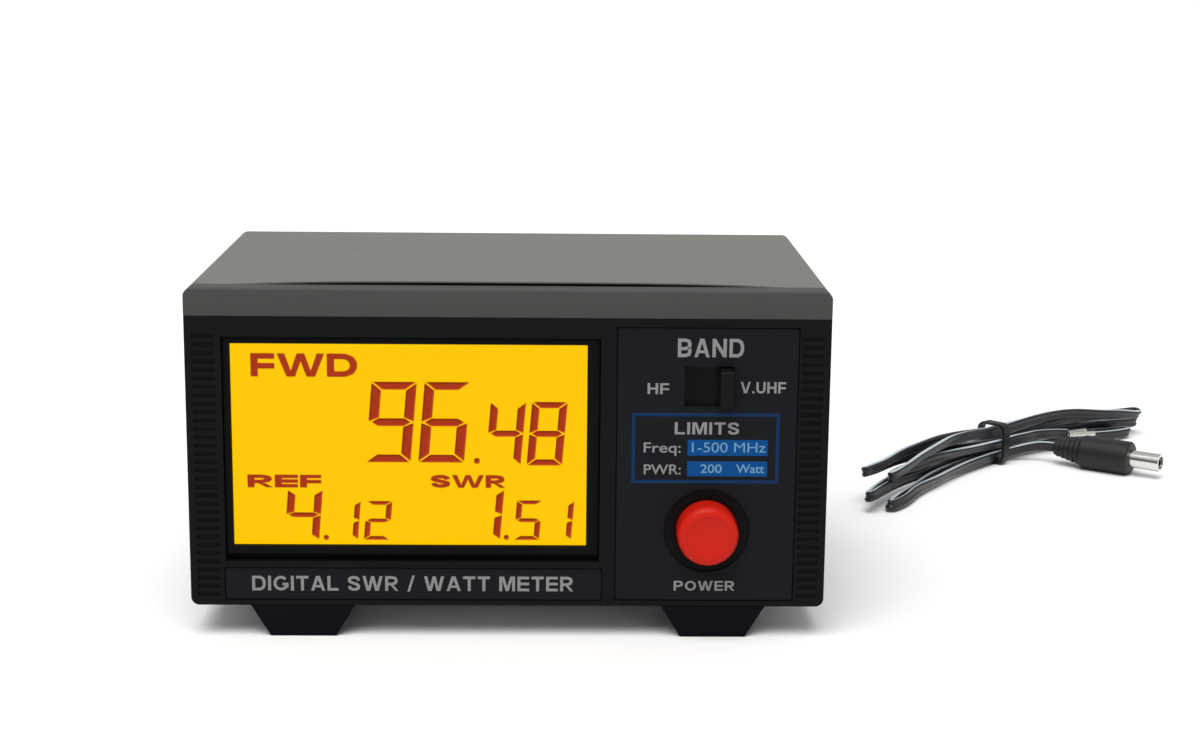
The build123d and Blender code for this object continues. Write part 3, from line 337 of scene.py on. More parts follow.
PRINT_BLUE = material("print_blue", (0.003, 0.060, 0.215), 0.5, specular=0.05, grain=0.2, bump=0.1, vary=0.06)
PRINT_EDGE = material(
    "print_outline", (0.007, 0.026, 0.080), 0.5, specular=0.05, grain=0.2, bump=0.1, vary=0.06,
)
PRINT_PALE = material("print_pale", (0.13, 0.27, 0.42), 0.5, specular=0.1, grain=0.2, bump=0.1, vary=0.06)
NICKEL = brushed("nickel_shell", (0.66, 0.65, 0.62), 0.22, stretch=(1, 12, 1))
PLUG_NICKEL = brushed("plug_nickel", (0.72, 0.71, 0.68), 0.16, stretch=(30, 30, 1))
GOLD = brushed("contact_gold", (0.8, 0.58, 0.25), 0.2, stretch=(1, 20, 1))
STEEL = brushed("screw_steel", (0.5, 0.5, 0.51), 0.3, stretch=(1, 1, 1))
BLACK_STEEL = brushed("screw_black", (0.05, 0.05, 0.052), 0.38, stretch=(1, 1, 1))
PTFE = material("insulator_ptfe", (0.78, 0.77, 0.72), 0.45, specular=0.4, grain=0.4, bump=0.1, vary=0.03)
JACK = material("jack_plastic", (0.012, 0.012, 0.012), 0.4, specular=0.4, grain=0.4, bump=0.15, vary=0.1)
TIN = brushed("coupler_tin", (0.6, 0.6, 0.58), 0.3, stretch=(30, 1, 1))
BOARD = material("circuit_board", (0.012, 0.11, 0.035), 0.3, specular=0.5, grain=0.8, bump=0.1, vary=0.15)
CHIP = material("chip_black", (0.012, 0.012, 0.012), 0.5, specular=0.4, grain=0.15, bump=0.3, vary=0.1)
SLEEVE = material(
    "capacitor_sleeve", (0.012, 0.014, 0.05), 0.25, specular=0.5, grain=1.0, bump=0.05, vary=0.1,
)
NYLON = material("header_nylon", (0.7, 0.67, 0.58), 0.5, specular=0.4, grain=0.3, bump=0.1, vary=0.05)
TRIMMER = material("trimmer_blue", (0.01, 0.08, 0.3), 0.35, specular=0.5, grain=0.4, bump=0.1, vary=0.08)
BRASS = brushed("rotor_brass", (0.72, 0.55, 0.25), 0.28, stretch=(1, 1, 1))
SWITCH = material("switch_plastic", (0.02, 0.02, 0.02), 0.45, specular=0.4, grain=0.3, bump=0.15, vary=0.1)
SPRING = brushed("spring_steel", (0.5, 0.5, 0.5), 0.25, stretch=(1, 1, 1))
GUIDE = material("light_guide", (0.85, 0.82, 0.7), 0.3, specular=0.5, grain=0.6, bump=0.1, vary=0.04)
SILICONE = material("contact_rubber", (0.4, 0.32, 0.2), 0.7, specular=0.3, grain=0.2, bump=0.3, vary=0.1)
FERRITE = material("ferrite", (0.03, 0.03, 0.033), 0.6, specular=0.4, grain=0.15, bump=0.5, vary=0.15)
WIRE = material("wire_pvc", (0.3, 0.01, 0.01), 0.35, specular=0.5, grain=0.6, bump=0.1, vary=0.08)
LEAD = material("lead_pvc", (0.008, 0.0085, 0.011), 0.34, specular=0.45, grain=0.7, bump=0.15, vary=0.15)
STRIPE = material("lead_stripe", (0.44, 0.50, 0.54), 0.42, specular=0.4, grain=0.7, bump=0.15, vary=0.1)
PLUG = material("plug_pvc", (0.009, 0.009, 0.011), 0.48, specular=0.35, grain=0.35, bump=0.25, vary=0.12)
TIP = material("plug_tip", (0.012, 0.012, 0.012), 0.35, specular=0.5, grain=0.3, bump=0.1, vary=0.1)
TIE = material("tie_plastic", (0.006, 0.006, 0.007), 0.4, specular=0.4, grain=0.3, bump=0.2, vary=0.1)
TINNED = brushed("tinned_copper", (0.62, 0.6, 0.57), 0.3, stretch=(1, 1, 1), size=0.15)
AMBER = glowing("display_amber", (1.0, 0.578, 0.0008), vary=0.01)
SEGMENT = glowing("display_segment", (0.37, 0.031, 0.008), vary=0.12)
# Segment rims in the glowing colour: a painted highlight on the lower edges and painted shade on the upper
# edges, for a raised look
SEGMENT_PAINTED_HIGHLIGHT = glowing("display_segment_painted_highlight", (0.50, 0.050, 0.010), vary=0.05)
SEGMENT_PAINTED_SHADE = glowing("display_segment_painted_shade", (0.22, 0.014, 0.001), vary=0.05)


def clear_window():
    """A thin clear pane: almost all of the light goes straight through."""
    mat = bpy.data.materials.new("clear_acrylic")
    mat.use_nodes = True
    tree = mat.node_tree
    tree.nodes.remove(tree.nodes["Principled BSDF"])
    through = tree.nodes.new("ShaderNodeBsdfTransparent")
    gloss = tree.nodes.new("ShaderNodeBsdfGlossy")
    gloss.inputs["Roughness"].default_value = 0.08
    gloss.inputs["Color"].default_value = (1, 1, 1, 1)
    mixed = tree.nodes.new("ShaderNodeMixShader")
    mixed.inputs["Fac"].default_value = 0.002
    tree.links.new(through.outputs["BSDF"], mixed.inputs[1])
    tree.links.new(gloss.outputs["BSDF"], mixed.inputs[2])
    tree.links.new(mixed.outputs["Shader"], tree.nodes["Material Output"].inputs["Surface"])
    return mat


PANE = clear_window()


# ---------------------------------------------------------------- power lead
LEAD_D = 3.6
HANK_YAW = math.radians(58.5)
HANK_LENGTH = 148.0
HANK_R = HANK_LENGTH / math.radians(30.0)
HANK_START = (103.0, 64.0)
TIE_AT = 76.0
# The lead's own route from the plug to the tie, as in the CAD model
TAIL_ROUTE = [
    (170.9, 121.9, 5.25),
    (167.3, 124.5, 5.25),
    (163.3, 125.8, 4.4),
    (159.1, 125.5, 3.5),
    (155.2, 123.9, 2.9),
    (150.9, 119.8, 2.8),
]
BARE_AT = (108.0, -5.0, 5.6)

# Each pass of the hank, as (across, height) at its left end, under the tie and at its right end
PASSES = [
    ((-7.4, 2.0), (-2.1, 2.8), (-2.1, 2.8)),
    ((-4.6, 2.1), (-0.1, 2.8), (-4.4, 2.2)),
    ((-3.0, 5.6), (2.0, 2.8), (-1.6, 2.2)),
    ((0.2, 4.6), (2.1, 6.4), (2.0, 3.0)),
    ((1.6, 11.4), (1.1, 9.9), (4.2, 4.6)),
    ((4.4, 9.8), (0.1, 6.4), (0.8, 8.0)),
    ((-3.4, 8.8), (-1.0, 9.9), (-1.4, 6.6)),
    ((-1.0, 7.6), (-2.1, 6.4), (-5.0, 5.6)),
]
LEFT_FOLDS = [3.0, -2.0, 5.0, 12.0]  # where passes 1 and 2, 3 and 4, and so on meet
RIGHT_FOLDS = [138.0, 147.0, 145.0, BARE_AT[0]]
RISE = [0.0, 0.0, 0.3, 0.5, 1.6, 1.2, 2.6, 0.6]  # how far each pass bulges upwards beside the tie


def hank_point(along, across, height):
    start = HANK_YAW
    here = HANK_YAW - along / HANK_R
    x = HANK_START[0] + HANK_R * (math.sin(start) - math.sin(here)) - across * math.sin(here)
    y = HANK_START[1] + HANK_R * (math.cos(here) - math.cos(start)) + across * math.cos(here)
    return Vector((x, y, height))


def half_pass(index, end, place, rng):
    """Points of one pass from the tie out to one of its ends."""
    tied = PASSES[index][1]
    points = []
    for share in (0.1, 0.26, 0.42, 0.58, 0.74, 0.9):
        spread = share**1.3
        sway = rng.uniform(-0.9, 0.9) * share
        lift = rng.uniform(-0.5, 0.6) * share + RISE[index] * math.sin(math.pi * share)
        across = tied[0] + (place[0] - tied[0]) * spread + sway
        height = max(LEAD_D / 2 + 0.1, tied[1] + (place[1] - tied[1]) * spread + lift)
        points.append(hank_point(TIE_AT + (end - TIE_AT) * share, across, height))
    return points


def fold(end, outward, here, there):
    """The turn between two passes at one end of the hank."""
    points = []
    for swing in (0.15, 0.5, 0.85):
        across = here[0] + (there[0] - here[0]) * swing
        height = here[1] + (there[1] - here[1]) * swing
        points.append(hank_point(end + outward * 2.0 * math.sin(math.pi * swing), across, height))
    return points


def hank_route():
    """The lead's passes from fold to fold, squeezed together by the tie."""
    rng = random.Random(11)
    points = []
    for index, (left, tied, right) in enumerate(PASSES):
        leftwards = index % 2 == 0
        left_part = half_pass(index, LEFT_FOLDS[index // 2], left, rng)
        right_end = RIGHT_FOLDS[index // 2 - leftwards]
        right_part = half_pass(index, right_end, right, rng) if index else []
        middle = [hank_point(TIE_AT, *tied)] if index else []
        points += (
            right_part[::-1] + middle + left_part if leftwards else left_part[::-1] + middle + right_part
        )
        if leftwards:
            points += fold(LEFT_FOLDS[index // 2], -1, left, PASSES[index + 1][0])
        elif index + 1 < len(PASSES):
            points += fold(right_end, 1, right, PASSES[index + 1][2])
    return points


def lead_route():
    route = [Vector(p) for p in TAIL_ROUTE] + hank_route()
    route.append(hank_point(*BARE_AT))
    return [p * MM for p in route]


def smooth_line(points, name):
    """Points read from a NURBS spline through the route, close together."""
    data = bpy.data.curves.new(name, "CURVE")
    data.dimensions = "3D"
    data.resolution_u = 6
    spline = data.splines.new("NURBS")
    spline.points.add(len(points) - 1)
    for target, point in zip(spline.points, points):
        target.co = (*point, 1)
    spline.order_u = 3
    spline.use_endpoint_u = True
    obj = bpy.data.objects.new(name, data)
    scene.collection.objects.link(obj)
    bpy.context.view_layer.update()
    mesh = bpy.data.meshes.new_from_object(obj.evaluated_get(bpy.context.evaluated_depsgraph_get()))
    line = [v.co.copy() for v in mesh.vertices]
    bpy.data.meshes.remove(mesh)
    bpy.data.objects.remove(obj)
    return line


def twin_section():
    """Outline of a flat twin lead, as (across the width, across the thickness), in mm."""
    outline = []
    for centre, start in ((0.8, -130), (-0.8, 50)):
        for step in range(9):
            turn = math.radians(start + step * 260 / 8)
            outline.append((centre + 0.8 * math.cos(turn), 0.8 * math.sin(turn)))
    return outline


def ribbon_tube(name, line, section, materials, twist, stripe=()):
    """A section swept along a line, its width held near vertical and rocked a little by twist."""
    bm = bmesh.new()
    rings = []
    travelled = 0.0
    for index, point in enumerate(line):
        before, after = line[max(index - 1, 0)], line[min(index + 1, len(line) - 1)]
        ahead = (after - before).normalized()
        if index:
            travelled += (point - line[index - 1]).length
        side = Vector((0, 0, 1)).cross(ahead).normalized()
        upright = ahead.cross(side).normalized()
        rock = twist(travelled)
        width = upright * math.cos(rock) + side * math.sin(rock)
        thick = ahead.cross(width)
        rings.append([bm.verts.new(point + (width * a + thick * b) * MM) for a, b in section])
    count = len(section)
    for low, high in zip(rings, rings[1:]):
        for step in range(count):
            nxt = (step + 1) % count
            face = bm.faces.new((low[step], low[nxt], high[nxt], high[step]))
            face.material_index = 1 if step in stripe else 0
    bm.faces.new(rings[0][::-1])
    bm.faces.new(rings[-1])
    bmesh.ops.recalc_face_normals(bm, faces=bm.faces)
    return smooth(from_bmesh(name, bm, materials), 60)


def lead_rock(travelled):
    """Slow rocking of the flat lead's width about the vertical, in radians."""
    return 0.32 * math.sin(travelled / 0.021) + 0.18 * math.sin(travelled / 0.0087 + 1.0)


def add_lead():
    line = smooth_line(lead_route(), "lead_line")
    lead = ribbon_tube("power_lead_flex", line, twin_section(), [LEAD, STRIPE], lead_rock, stripe=(3, 4))
    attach(lead, "power_lead")
    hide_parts("lead_tail", "lead_hank")


add_lead()


# ---------------------------------------------------------------- case
def cover_profile(inset):
    """The cover's section as (x, z) in mm from lower left round the top to lower right."""
    low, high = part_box("top_cover")
    half, base, top = high.x / MM - inset, low.z / MM, high.z / MM - inset
    radius = 2.0 - inset
    points = [(-half, z) for z in (base, base + 20, base + 40, base + 60, top - radius)]
    for step in range(1, 7):
        turn = math.radians(180 - 15 * step)
        points.append((-half + radius + radius * math.cos(turn), top - radius + radius * math.sin(turn)))
    flat = half - radius
    points += [(-flat + 2 * flat * step / 40, top) for step in range(1, 40)]
    for step in range(0, 7):
        turn = math.radians(90 - 15 * step)
        points.append((half - radius + radius * math.cos(turn), top - radius + radius * math.sin(turn)))
    points += [(half, z) for z in (base + 60, base + 40, base + 20, base)]
    return points


BOW_HALF = 64.0  # half the width over which the cover's front edge bows, in mm
BOW_LIFT, BOW_FADE = 0.75, 9.0
BOW_SETBACK, SETBACK_DEPTH = 1.3, 20.0


def add_cover():
    """The folded steel cover, whose front edge stands a little proud of the brow in the middle."""
    low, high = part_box("top_cover")
    front, back = low.y / MM, high.y / MM
    section = cover_profile(0) + cover_profile(1.0)[::-1]
    rows = [0, 0.4, 1.2, 2.5, 4.5, 7.5, 12, 18, 26, 38, 55, 75, back - front]
    bm = bmesh.new()
    rings = []
    for row in rows:
        ring = []
        for index, (x, z) in enumerate(section):
            on_top = z > high.z / MM - 3
            bow = 1 - (x / BOW_HALF) ** 4 if abs(x) < BOW_HALF and on_top else 0
            lift = BOW_LIFT * bow * math.exp(-row / BOW_FADE)
            setback = BOW_SETBACK * bow * max(0, 1 - row / SETBACK_DEPTH)
            # The sheet is thinned towards its front edge
            thinned = 0.5 * max(0, 1 - row / 3) if on_top and index >= len(section) // 2 else 0
            ring.append(bm.verts.new((x * MM, (front + row + setback) * MM, (z + lift + thinned) * MM)))
        rings.append(ring)
    count = len(section)
    for near, far in zip(rings, rings[1:]):
        for step in range(count):
            nxt = (step + 1) % count
            bm.faces.new((near[step], near[nxt], far[nxt], far[step]))
    half = count // 2
    for ring in (rings[0], rings[-1]):
        for step in range(half - 1):
            bm.faces.new((ring[step], ring[step + 1], ring[count - 2 - step], ring[count - 1 - step]))
    bmesh.ops.recalc_face_normals(bm, faces=bm.faces)
    bevel(bm, 0.15 * MM, 2, 50)
    cover = smooth(from_bmesh("folded_cover", bm, [COVER]))
    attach(cover, "case")
    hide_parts("top_cover")


add_cover()
eased("front_bezel", "case", 0.18, BEZEL)
eased("brow_trim", "case", 0.25, BROW_PAINTED_SHADE)
eased("control_panel", "case", 0.12, INLAY)
eased("label_strip", "case", 0.12, INLAY)
eased("lcd_frame", "case", 0.15, RECESS)
eased("band_switch_knob", "band_selector", 0.15, KNOB_PAINTED_SHADE)
eased("front_foot_left", "case", 0.5, FOOT, 3)
eased("front_foot_right", "case", 0.5, FOOT, 3)
eased("rear_panel", "case", 0.2, REAR)


# ---------------------------------------------------------------- display
def behind(x, z, depth):
    """Where a mark that shows at (x, z) on the bezel's face lies on a plane depth mm behind it."""
    grow = 1 + depth * MM / (FRONT - EYE.y)
    return (EYE.x / MM + (x - EYE.x / MM) * grow, EYE.z / MM + (z - EYE.z / MM) * grow)


GLASS_LOW, GLASS_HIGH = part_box("lcd_glass")
GLASS_Y = GLASS_LOW.y
GLASS_DEPTH = (GLASS_Y - FRONT) / MM


def on_glass(x, z):
    return behind(x, z, GLASS_DEPTH)


SLANT = math.tan(math.radians(4.8))

# The segments each digit lights: a at the top, b to f clockwise from it, g across the middle
LIT = {
    "1": "bc",
    "2": "abged",
    "4": "fgbc",
    "5": "afgcd",
    "6": "afgcde",
    "8": "abcdefg",
    "9": "abcdfg",
}


def segment_outline(name, width, height, thick_x, thick_z, gap):
    """A segment's outline on an upright digit: mitred at its ends, with gaps between neighbours."""
    mid = height / 2
    if name in "ad":
        edge, inner = (height, height - thick_z) if name == "a" else (0, thick_z)
        return [(gap, edge), (width - gap, edge), (width - thick_x - gap, inner), (thick_x + gap, inner)]
    if name == "g":
        half = thick_z / 2
        return [
            (thick_x * 0.2 + gap, mid),
            (thick_x * 0.85 + gap, mid + half),
            (width - thick_x * 0.85 - gap, mid + half),
            (width - thick_x * 0.2 - gap, mid),
            (width - thick_x * 0.85 - gap, mid - half),
            (thick_x * 0.85 + gap, mid - half),
        ]
    outer, inner = (width, width - thick_x) if name in "bc" else (0, thick_x)
    if name in "bf":
        return [
            (outer, mid + gap * 0.6),
            (outer, height - gap),
            (inner, height - thick_z - gap),
            (inner, mid + thick_z / 2 + gap * 0.9),
        ]
    return [
        (outer, mid - gap * 0.6),
        (outer, gap),
        (inner, thick_z + gap),
        (inner, mid - thick_z / 2 - gap * 0.9),
    ]


def digit_outlines(digit, x, z, width, height):
    thick_x, thick_z, gap = width * 0.225, height * 0.096, height * 0.010 + 0.07
    outlines = []
    for name in LIT[digit]:
        outline = segment_outline(name, width, height, thick_x, thick_z, gap)
        outlines.append([on_glass(x + px + pz * SLANT, z + pz) for px, pz in outline])
    return outlines


def dot_outline(x, z, radius):
    return [
        on_glass(
            x + radius * math.cos(math.radians(22.5 + 45 * step)),
            z + radius * math.sin(math.radians(22.5 + 45 * step)),
        )
        for step in range(8)
    ]


def rim_with_painted_bevel(obj, rim):
    """Give each flat shape a border of painted light, for a raised look: a painted highlight along its lower
    and right edges, painted shade along the others.
    """
    bm = bmesh.new()
    bm.from_mesh(obj.data)
    fronts = [f for f in bm.faces if f.normal.y < -0.9]
    inset = bmesh.ops.inset_individual(bm, faces=fronts, thickness=rim * MM, use_even_offset=True)
    for face in inset["faces"]:
        inner = next(f for edge in face.edges for f in edge.link_faces if f in fronts)
        out = face.calc_center_median() - inner.calc_center_median()
        along = max(face.edges, key=lambda edge: edge.calc_length())
        run = (along.verts[1].co - along.verts[0].co).normalized()
        across = out - run * out.dot(run)
        # Index 1 is the painted highlight on the lower and right edges; index 2 is the painted shade on the
        # others
        face.material_index = 1 if across.x * 0.5 - across.z > 0 else 2
    bm.to_mesh(obj.data)
    bm.free()
    obj.data.materials.append(SEGMENT_PAINTED_HIGHLIGHT)
    obj.data.materials.append(SEGMENT_PAINTED_SHADE)


def add_readings():
    """The three readings: forward power, reflected power and SWR."""
    readings = [
        ("9", -33.4, 42.6, 10.5, 19.2),
        ("6", -21.1, 42.6, 10.7, 19.2),
        ("4", -5.4, 42.0, 8.2, 15.2),
        ("8", 4.2, 42.0, 8.3, 15.2),
        ("4", -52.6, 23.7, 8.1, 12.2),
        ("1", -41.4, 23.8, 6.0, 9.4),
        ("2", -34.0, 23.8, 6.0, 9.4),
        ("1", -9.8, 23.9, 7.8, 12.2),
        ("5", 1.2, 23.9, 6.0, 9.6),
        ("1", 8.9, 24.0, 5.8, 9.4),
    ]
    outlines = [o for reading in readings for o in digit_outlines(*reading)]
    outlines += [dot_outline(-7.4, 43.0, 0.75), dot_outline(-42.8, 24.3, 0.65), dot_outline(-0.5, 24.5, 0.65)]
    digits = prism("display_digits", outlines, GLASS_Y, 0.04, SEGMENT, "case")
    # Painted highlight and painted shade round each segment's edges
    rim_with_painted_bevel(digits, 0.36)


def stroke(points, widths, closed=False):
    """The two sides of a mitred line whose upright parts and level parts have their own widths."""
    count = len(points)
    points = [Vector(point) for point in points]
    sides = ([], [])
    for index, here in enumerate(points):
        before = points[index - 1] if index or closed else None
        after = points[(index + 1) % count] if index + 1 < count or closed else None
        arriving = (here - before).normalized() if before else (after - here).normalized()
        leaving = (after - here).normalized() if after else arriving
        first, second = Vector((-arriving.y, arriving.x)), Vector((-leaving.y, leaving.x))
        mitre = (first + second) / (1 + first.dot(second))
        half = Vector((mitre.x * widths[0] / 2, mitre.y * widths[1] / 2))
        sides[0].append(here + half)
        sides[1].append(here - half)
    return sides


# Bold block capitals on a cell one unit tall: polygons, and ovals as centre lines with their width
def capital(letter, stem, bar):
    """A capital as (width, polygons, lines); each line is (points, closed)."""
    top, mid = 1 - bar, 0.5
    side, base = stem / 2, bar / 2
    stick = rectangle(0, stem, 0, 1)
    if letter in "EFHLT":
        width = {"E": 0.78, "F": 0.72, "H": 0.86, "L": 0.74, "T": 0.82}[letter]
        if letter == "T":
            middle = (width - stem) / 2
            return width, [rectangle(0, width, top, 1), rectangle(middle, middle + stem, 0, top)], []
        if letter == "H":
            crossbar = rectangle(stem, width - stem, mid - base, mid + base)
            return width, [stick, rectangle(width - stem, width, 0, 1), crossbar], []
        bars = {"E": (0, mid - base, top), "F": (mid - base - 0.04, top), "L": (0,)}[letter]
        return width, [stick] + [rectangle(stem, width, low, low + bar) for low in bars], []
    if letter == "I":
        return stem, [stick], []
    if letter in "AV":
        slope = [(0, 0), (0.34, 1), (0.60, 1), (0.94, 0), (0.94 - stem, 0), (0.47, 0.76), (stem, 0)]
        if letter == "V":
            return 0.94, [[(x, 1 - z) for x, z in slope]], []
        reach = [stem + (0.47 - stem) * z / 0.76 for z in (0.22, 0.22 + bar * 0.85)]
        crossbar = [(reach[0], 0.22), (0.94 - reach[0], 0.22)]
        crossbar += [(0.94 - reach[1], 0.22 + bar * 0.85), (reach[1], 0.22 + bar * 0.85)]
        return 0.94, [slope, crossbar], []
    if letter == "W":
        zigzag = [(0, 1), (0.16, 1), (0.29, 0.26), (0.42, 1), (0.58, 1), (0.71, 0.26), (0.84, 1), (1, 1)]
        zigzag += [(0.80, 0), (0.62, 0), (0.5, 0.66), (0.38, 0), (0.20, 0)]
        return 1.35, [[(x * 1.35, z) for x, z in zigzag]], []
    if letter == "M":
        wide = 1.06
        leg = stem / wide
        peaks = [
            (0, 0), (0, 1), (0.3, 1), (0.5, 0.32), (0.7, 1), (1, 1), (1, 0), (1 - leg, 0), (1 - leg, 0.76),
        ]
        peaks += [(0.59, 0), (0.41, 0), (leg, 0.76), (leg, 0)]
        return wide, [[(x * wide, z) for x, z in peaks]], []
    if letter == "N":
        cut = 0.34
        slant = [(0, 0), (0, 1), (stem, 1), (0.88 - stem, cut), (0.88 - stem, 1), (0.88, 1), (0.88, 0)]
        return 0.88, [slant + [(0.88 - stem, 0), (stem, 1 - cut), (stem, 0)]], []
    if letter == "X":
        cross = [(0, 1), (stem * 1.2, 1), (0.45, 0.66), (0.9 - stem * 1.2, 1), (0.9, 1), (0.57, 0.5)]
        cross += [(0.9, 0), (0.9 - stem * 1.2, 0), (0.45, 0.34), (stem * 1.2, 0), (0, 0), (0.33, 0.5)]
        return 0.9, [cross], []
    if letter == "/":
        return 0.5, [[(0, -0.05), (0.34, 1.05), (0.5, 1.05), (0.16, -0.05)]], []
    if letter == ".":
        return stem, [rectangle(0, stem, 0, bar)], []
    if letter == " ":
        return 0.3, [], []
    high, soft = 1 - base, 0.26
    if letter in "BPR":
        width = 0.84
        right = width - side
        bowl = [
            (stem, mid - 0.04), (right - soft, mid - 0.04), (right - 0.06, mid + 0.04), (right, mid + 0.16),
        ]
        bowl += [(right, high - 0.2), (right - 0.06, high - 0.06), (right - soft, high), (stem, high)]
        polygons, lines = [stick], [(bowl, False)]
        if letter == "R":
            foot, leg = width + 0.04, mid - 0.04 - base
            polygons.append([(0.37, leg), (0.37 + stem, leg), (foot, 0), (foot - stem, 0)])
        if letter == "B":
            lower = [(stem, base), (right - soft, base), (right - 0.06, base + 0.06), (right, base + 0.18)]
            lower.append((right - 0.03, mid + 0.02))
            lines.append((lower, False))
        return width + 0.02, polygons, lines
    if letter == "D":
        right = 0.9 - side
        bow = [(stem, base), (right - soft, base), (right - 0.08, base + 0.1), (right, base + 0.28)]
        bow += [(right, high - 0.28), (right - 0.08, high - 0.1), (right - soft, high), (stem, high)]
        return 0.9, [stick], [(bow, False)]
    if letter == "U":
        right = 0.86 - side
        cup = [(side, 1), (side, base + 0.26), (side + 0.07, base + 0.09), (side + 0.22, base)]
        cup += [(right - 0.22, base), (right - 0.07, base + 0.09), (right, base + 0.26), (right, 1)]
        return 0.86, [], [(cup, False)]
    if letter == "O":
        width = 1.02
        centre, tall = width / 2, 0.5 - base
        ring = []
        for step in range(24):
            turn = math.tau * step / 24
            ring.append((centre + (centre - side) * math.cos(turn), 0.5 + tall * math.sin(turn)))
        return width, [], [(ring, True)]
    if letter in "CG":
        turns = [math.radians(angle) for angle in range(40, 321, 20)]
        arc = [(0.5 + (0.5 - side) * math.cos(turn), 0.5 + (0.5 - base) * math.sin(turn)) for turn in turns]
        lip = [(1 - side, 0.28), (1 - side, 0.44), (0.6, 0.44)] if letter == "G" else []
        return 1.0, [], [(arc + lip, False)]
    if letter == "S":
        right, low, soft = 0.82 - side, mid + 0.01, 0.2
        snake = [(right, high - 0.22), (right - 0.05, high - 0.08), (right - soft, high), (side + soft, high)]
        snake += [
            (side + 0.04, high - 0.07), (side, high - 0.2), (side + 0.05, low + 0.1),
            (side + soft, low + 0.04),
        ]
        snake += [(right - soft, low - 0.05), (right - 0.04, low - 0.11), (right, base + 0.19)]
        snake += [
            (right - 0.04, base + 0.07), (right - soft, base), (side + soft, base),
            (side + 0.05, base + 0.08),
        ]
        snake.append((side, base + 0.23))
        return 0.82, [], [(snake, False)]
    raise ValueError(letter)


def word_mesh(
    name, word, x, z, stem, bar, material, depth, facing=-1, spread=None, widths=None, gap=0.16,
):
    """A word in block capitals, fitted between the low and high corners that x and z give in mm."""
    cells = [capital(letter, stem, bar) for letter in word]
    widths = widths or [cell[0] for cell in cells]
    scale = (x[1] - x[0]) / (sum(widths) + gap * (len(word) - 1))
    bm = bmesh.new()
    start = 0.0

    def put(point, stretch):
        across = (start + point[0] * stretch) * scale
        px, pz = (x[0] + across if facing < 0 else x[1] - across), z[0] + point[1] * (z[1] - z[0])
        if spread:
            px, pz = spread(px, pz)
        return bm.verts.new((px * MM, depth, pz * MM))

    for cell, width in zip(cells, widths):
        stretch = width / cell[0]
        for polygon in cell[1]:
            bm.faces.new([put(point, stretch) for point in polygon])
        for points, closed in cell[2]:
            left, right = stroke(points, (stem, bar), closed)
            ring = [(put(a, stretch), put(b, stretch)) for a, b in zip(left, right)]
            for index in range(len(ring) if closed else len(ring) - 1):
                (a, b), (c, d) = ring[index], ring[(index + 1) % len(ring)]
                bm.faces.new((a, c, d, b))
        start += width + gap
    flat = list(bm.faces)
    for face in flat:
        grown = bmesh.ops.extrude_face_region(bm, geom=[face])
        moved = [v for v in grown["geom"] if isinstance(v, bmesh.types.BMVert)]
        bmesh.ops.translate(bm, verts=moved, vec=(0, facing * PRINT_T * MM, 0))
    bmesh.ops.recalc_face_normals(bm, faces=bm.faces)
    obj = from_bmesh(name, bm, [material])
    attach(obj, "case")
    return obj


def display_word(word, x, z, widths, gap, stem, bar):
    """A word in wide block capitals on the glass."""
    name = f"display_{word.lower()}"
    word_mesh(
        name, word, x, z, stem, bar, SEGMENT, GLASS_Y,
        spread=on_glass, widths=widths, gap=gap,
    )


def add_display():
    glass = prism(
        "lit_display",
        [rectangle(GLASS_LOW.x / MM, GLASS_HIGH.x / MM, GLASS_LOW.z / MM, GLASS_HIGH.z / MM)],
        GLASS_HIGH.y,
        (GLASS_HIGH.y - GLASS_LOW.y) / MM,
        AMBER,
        "case",
    )
    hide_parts("lcd_glass")
    add_readings()
    display_word("FWD", (-59.7, -35.1), (62.9, 68.4), (0.99, 1.97, 1.25), 0.1, 0.22, 0.24)
    display_word("REF", (-61.0, -43.8), (36.4, 39.5), (1.92, 1.77, 1.62), 0.15, 0.24, 0.27)
    display_word("SWR", (-18.2, -0.8), (36.5, 39.6), (1.54, 2.54, 1.54), 0.12, 0.24, 0.27)


add_display()

# ---------------------------------------------------------------- printing
PANEL_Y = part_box("control_panel")[0].y
STRIP_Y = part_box("label_strip")[0].y
LEGEND_STEM, LEGEND_BAR = 0.2, 0.18  # stroke widths of printed capitals, as shares of their height


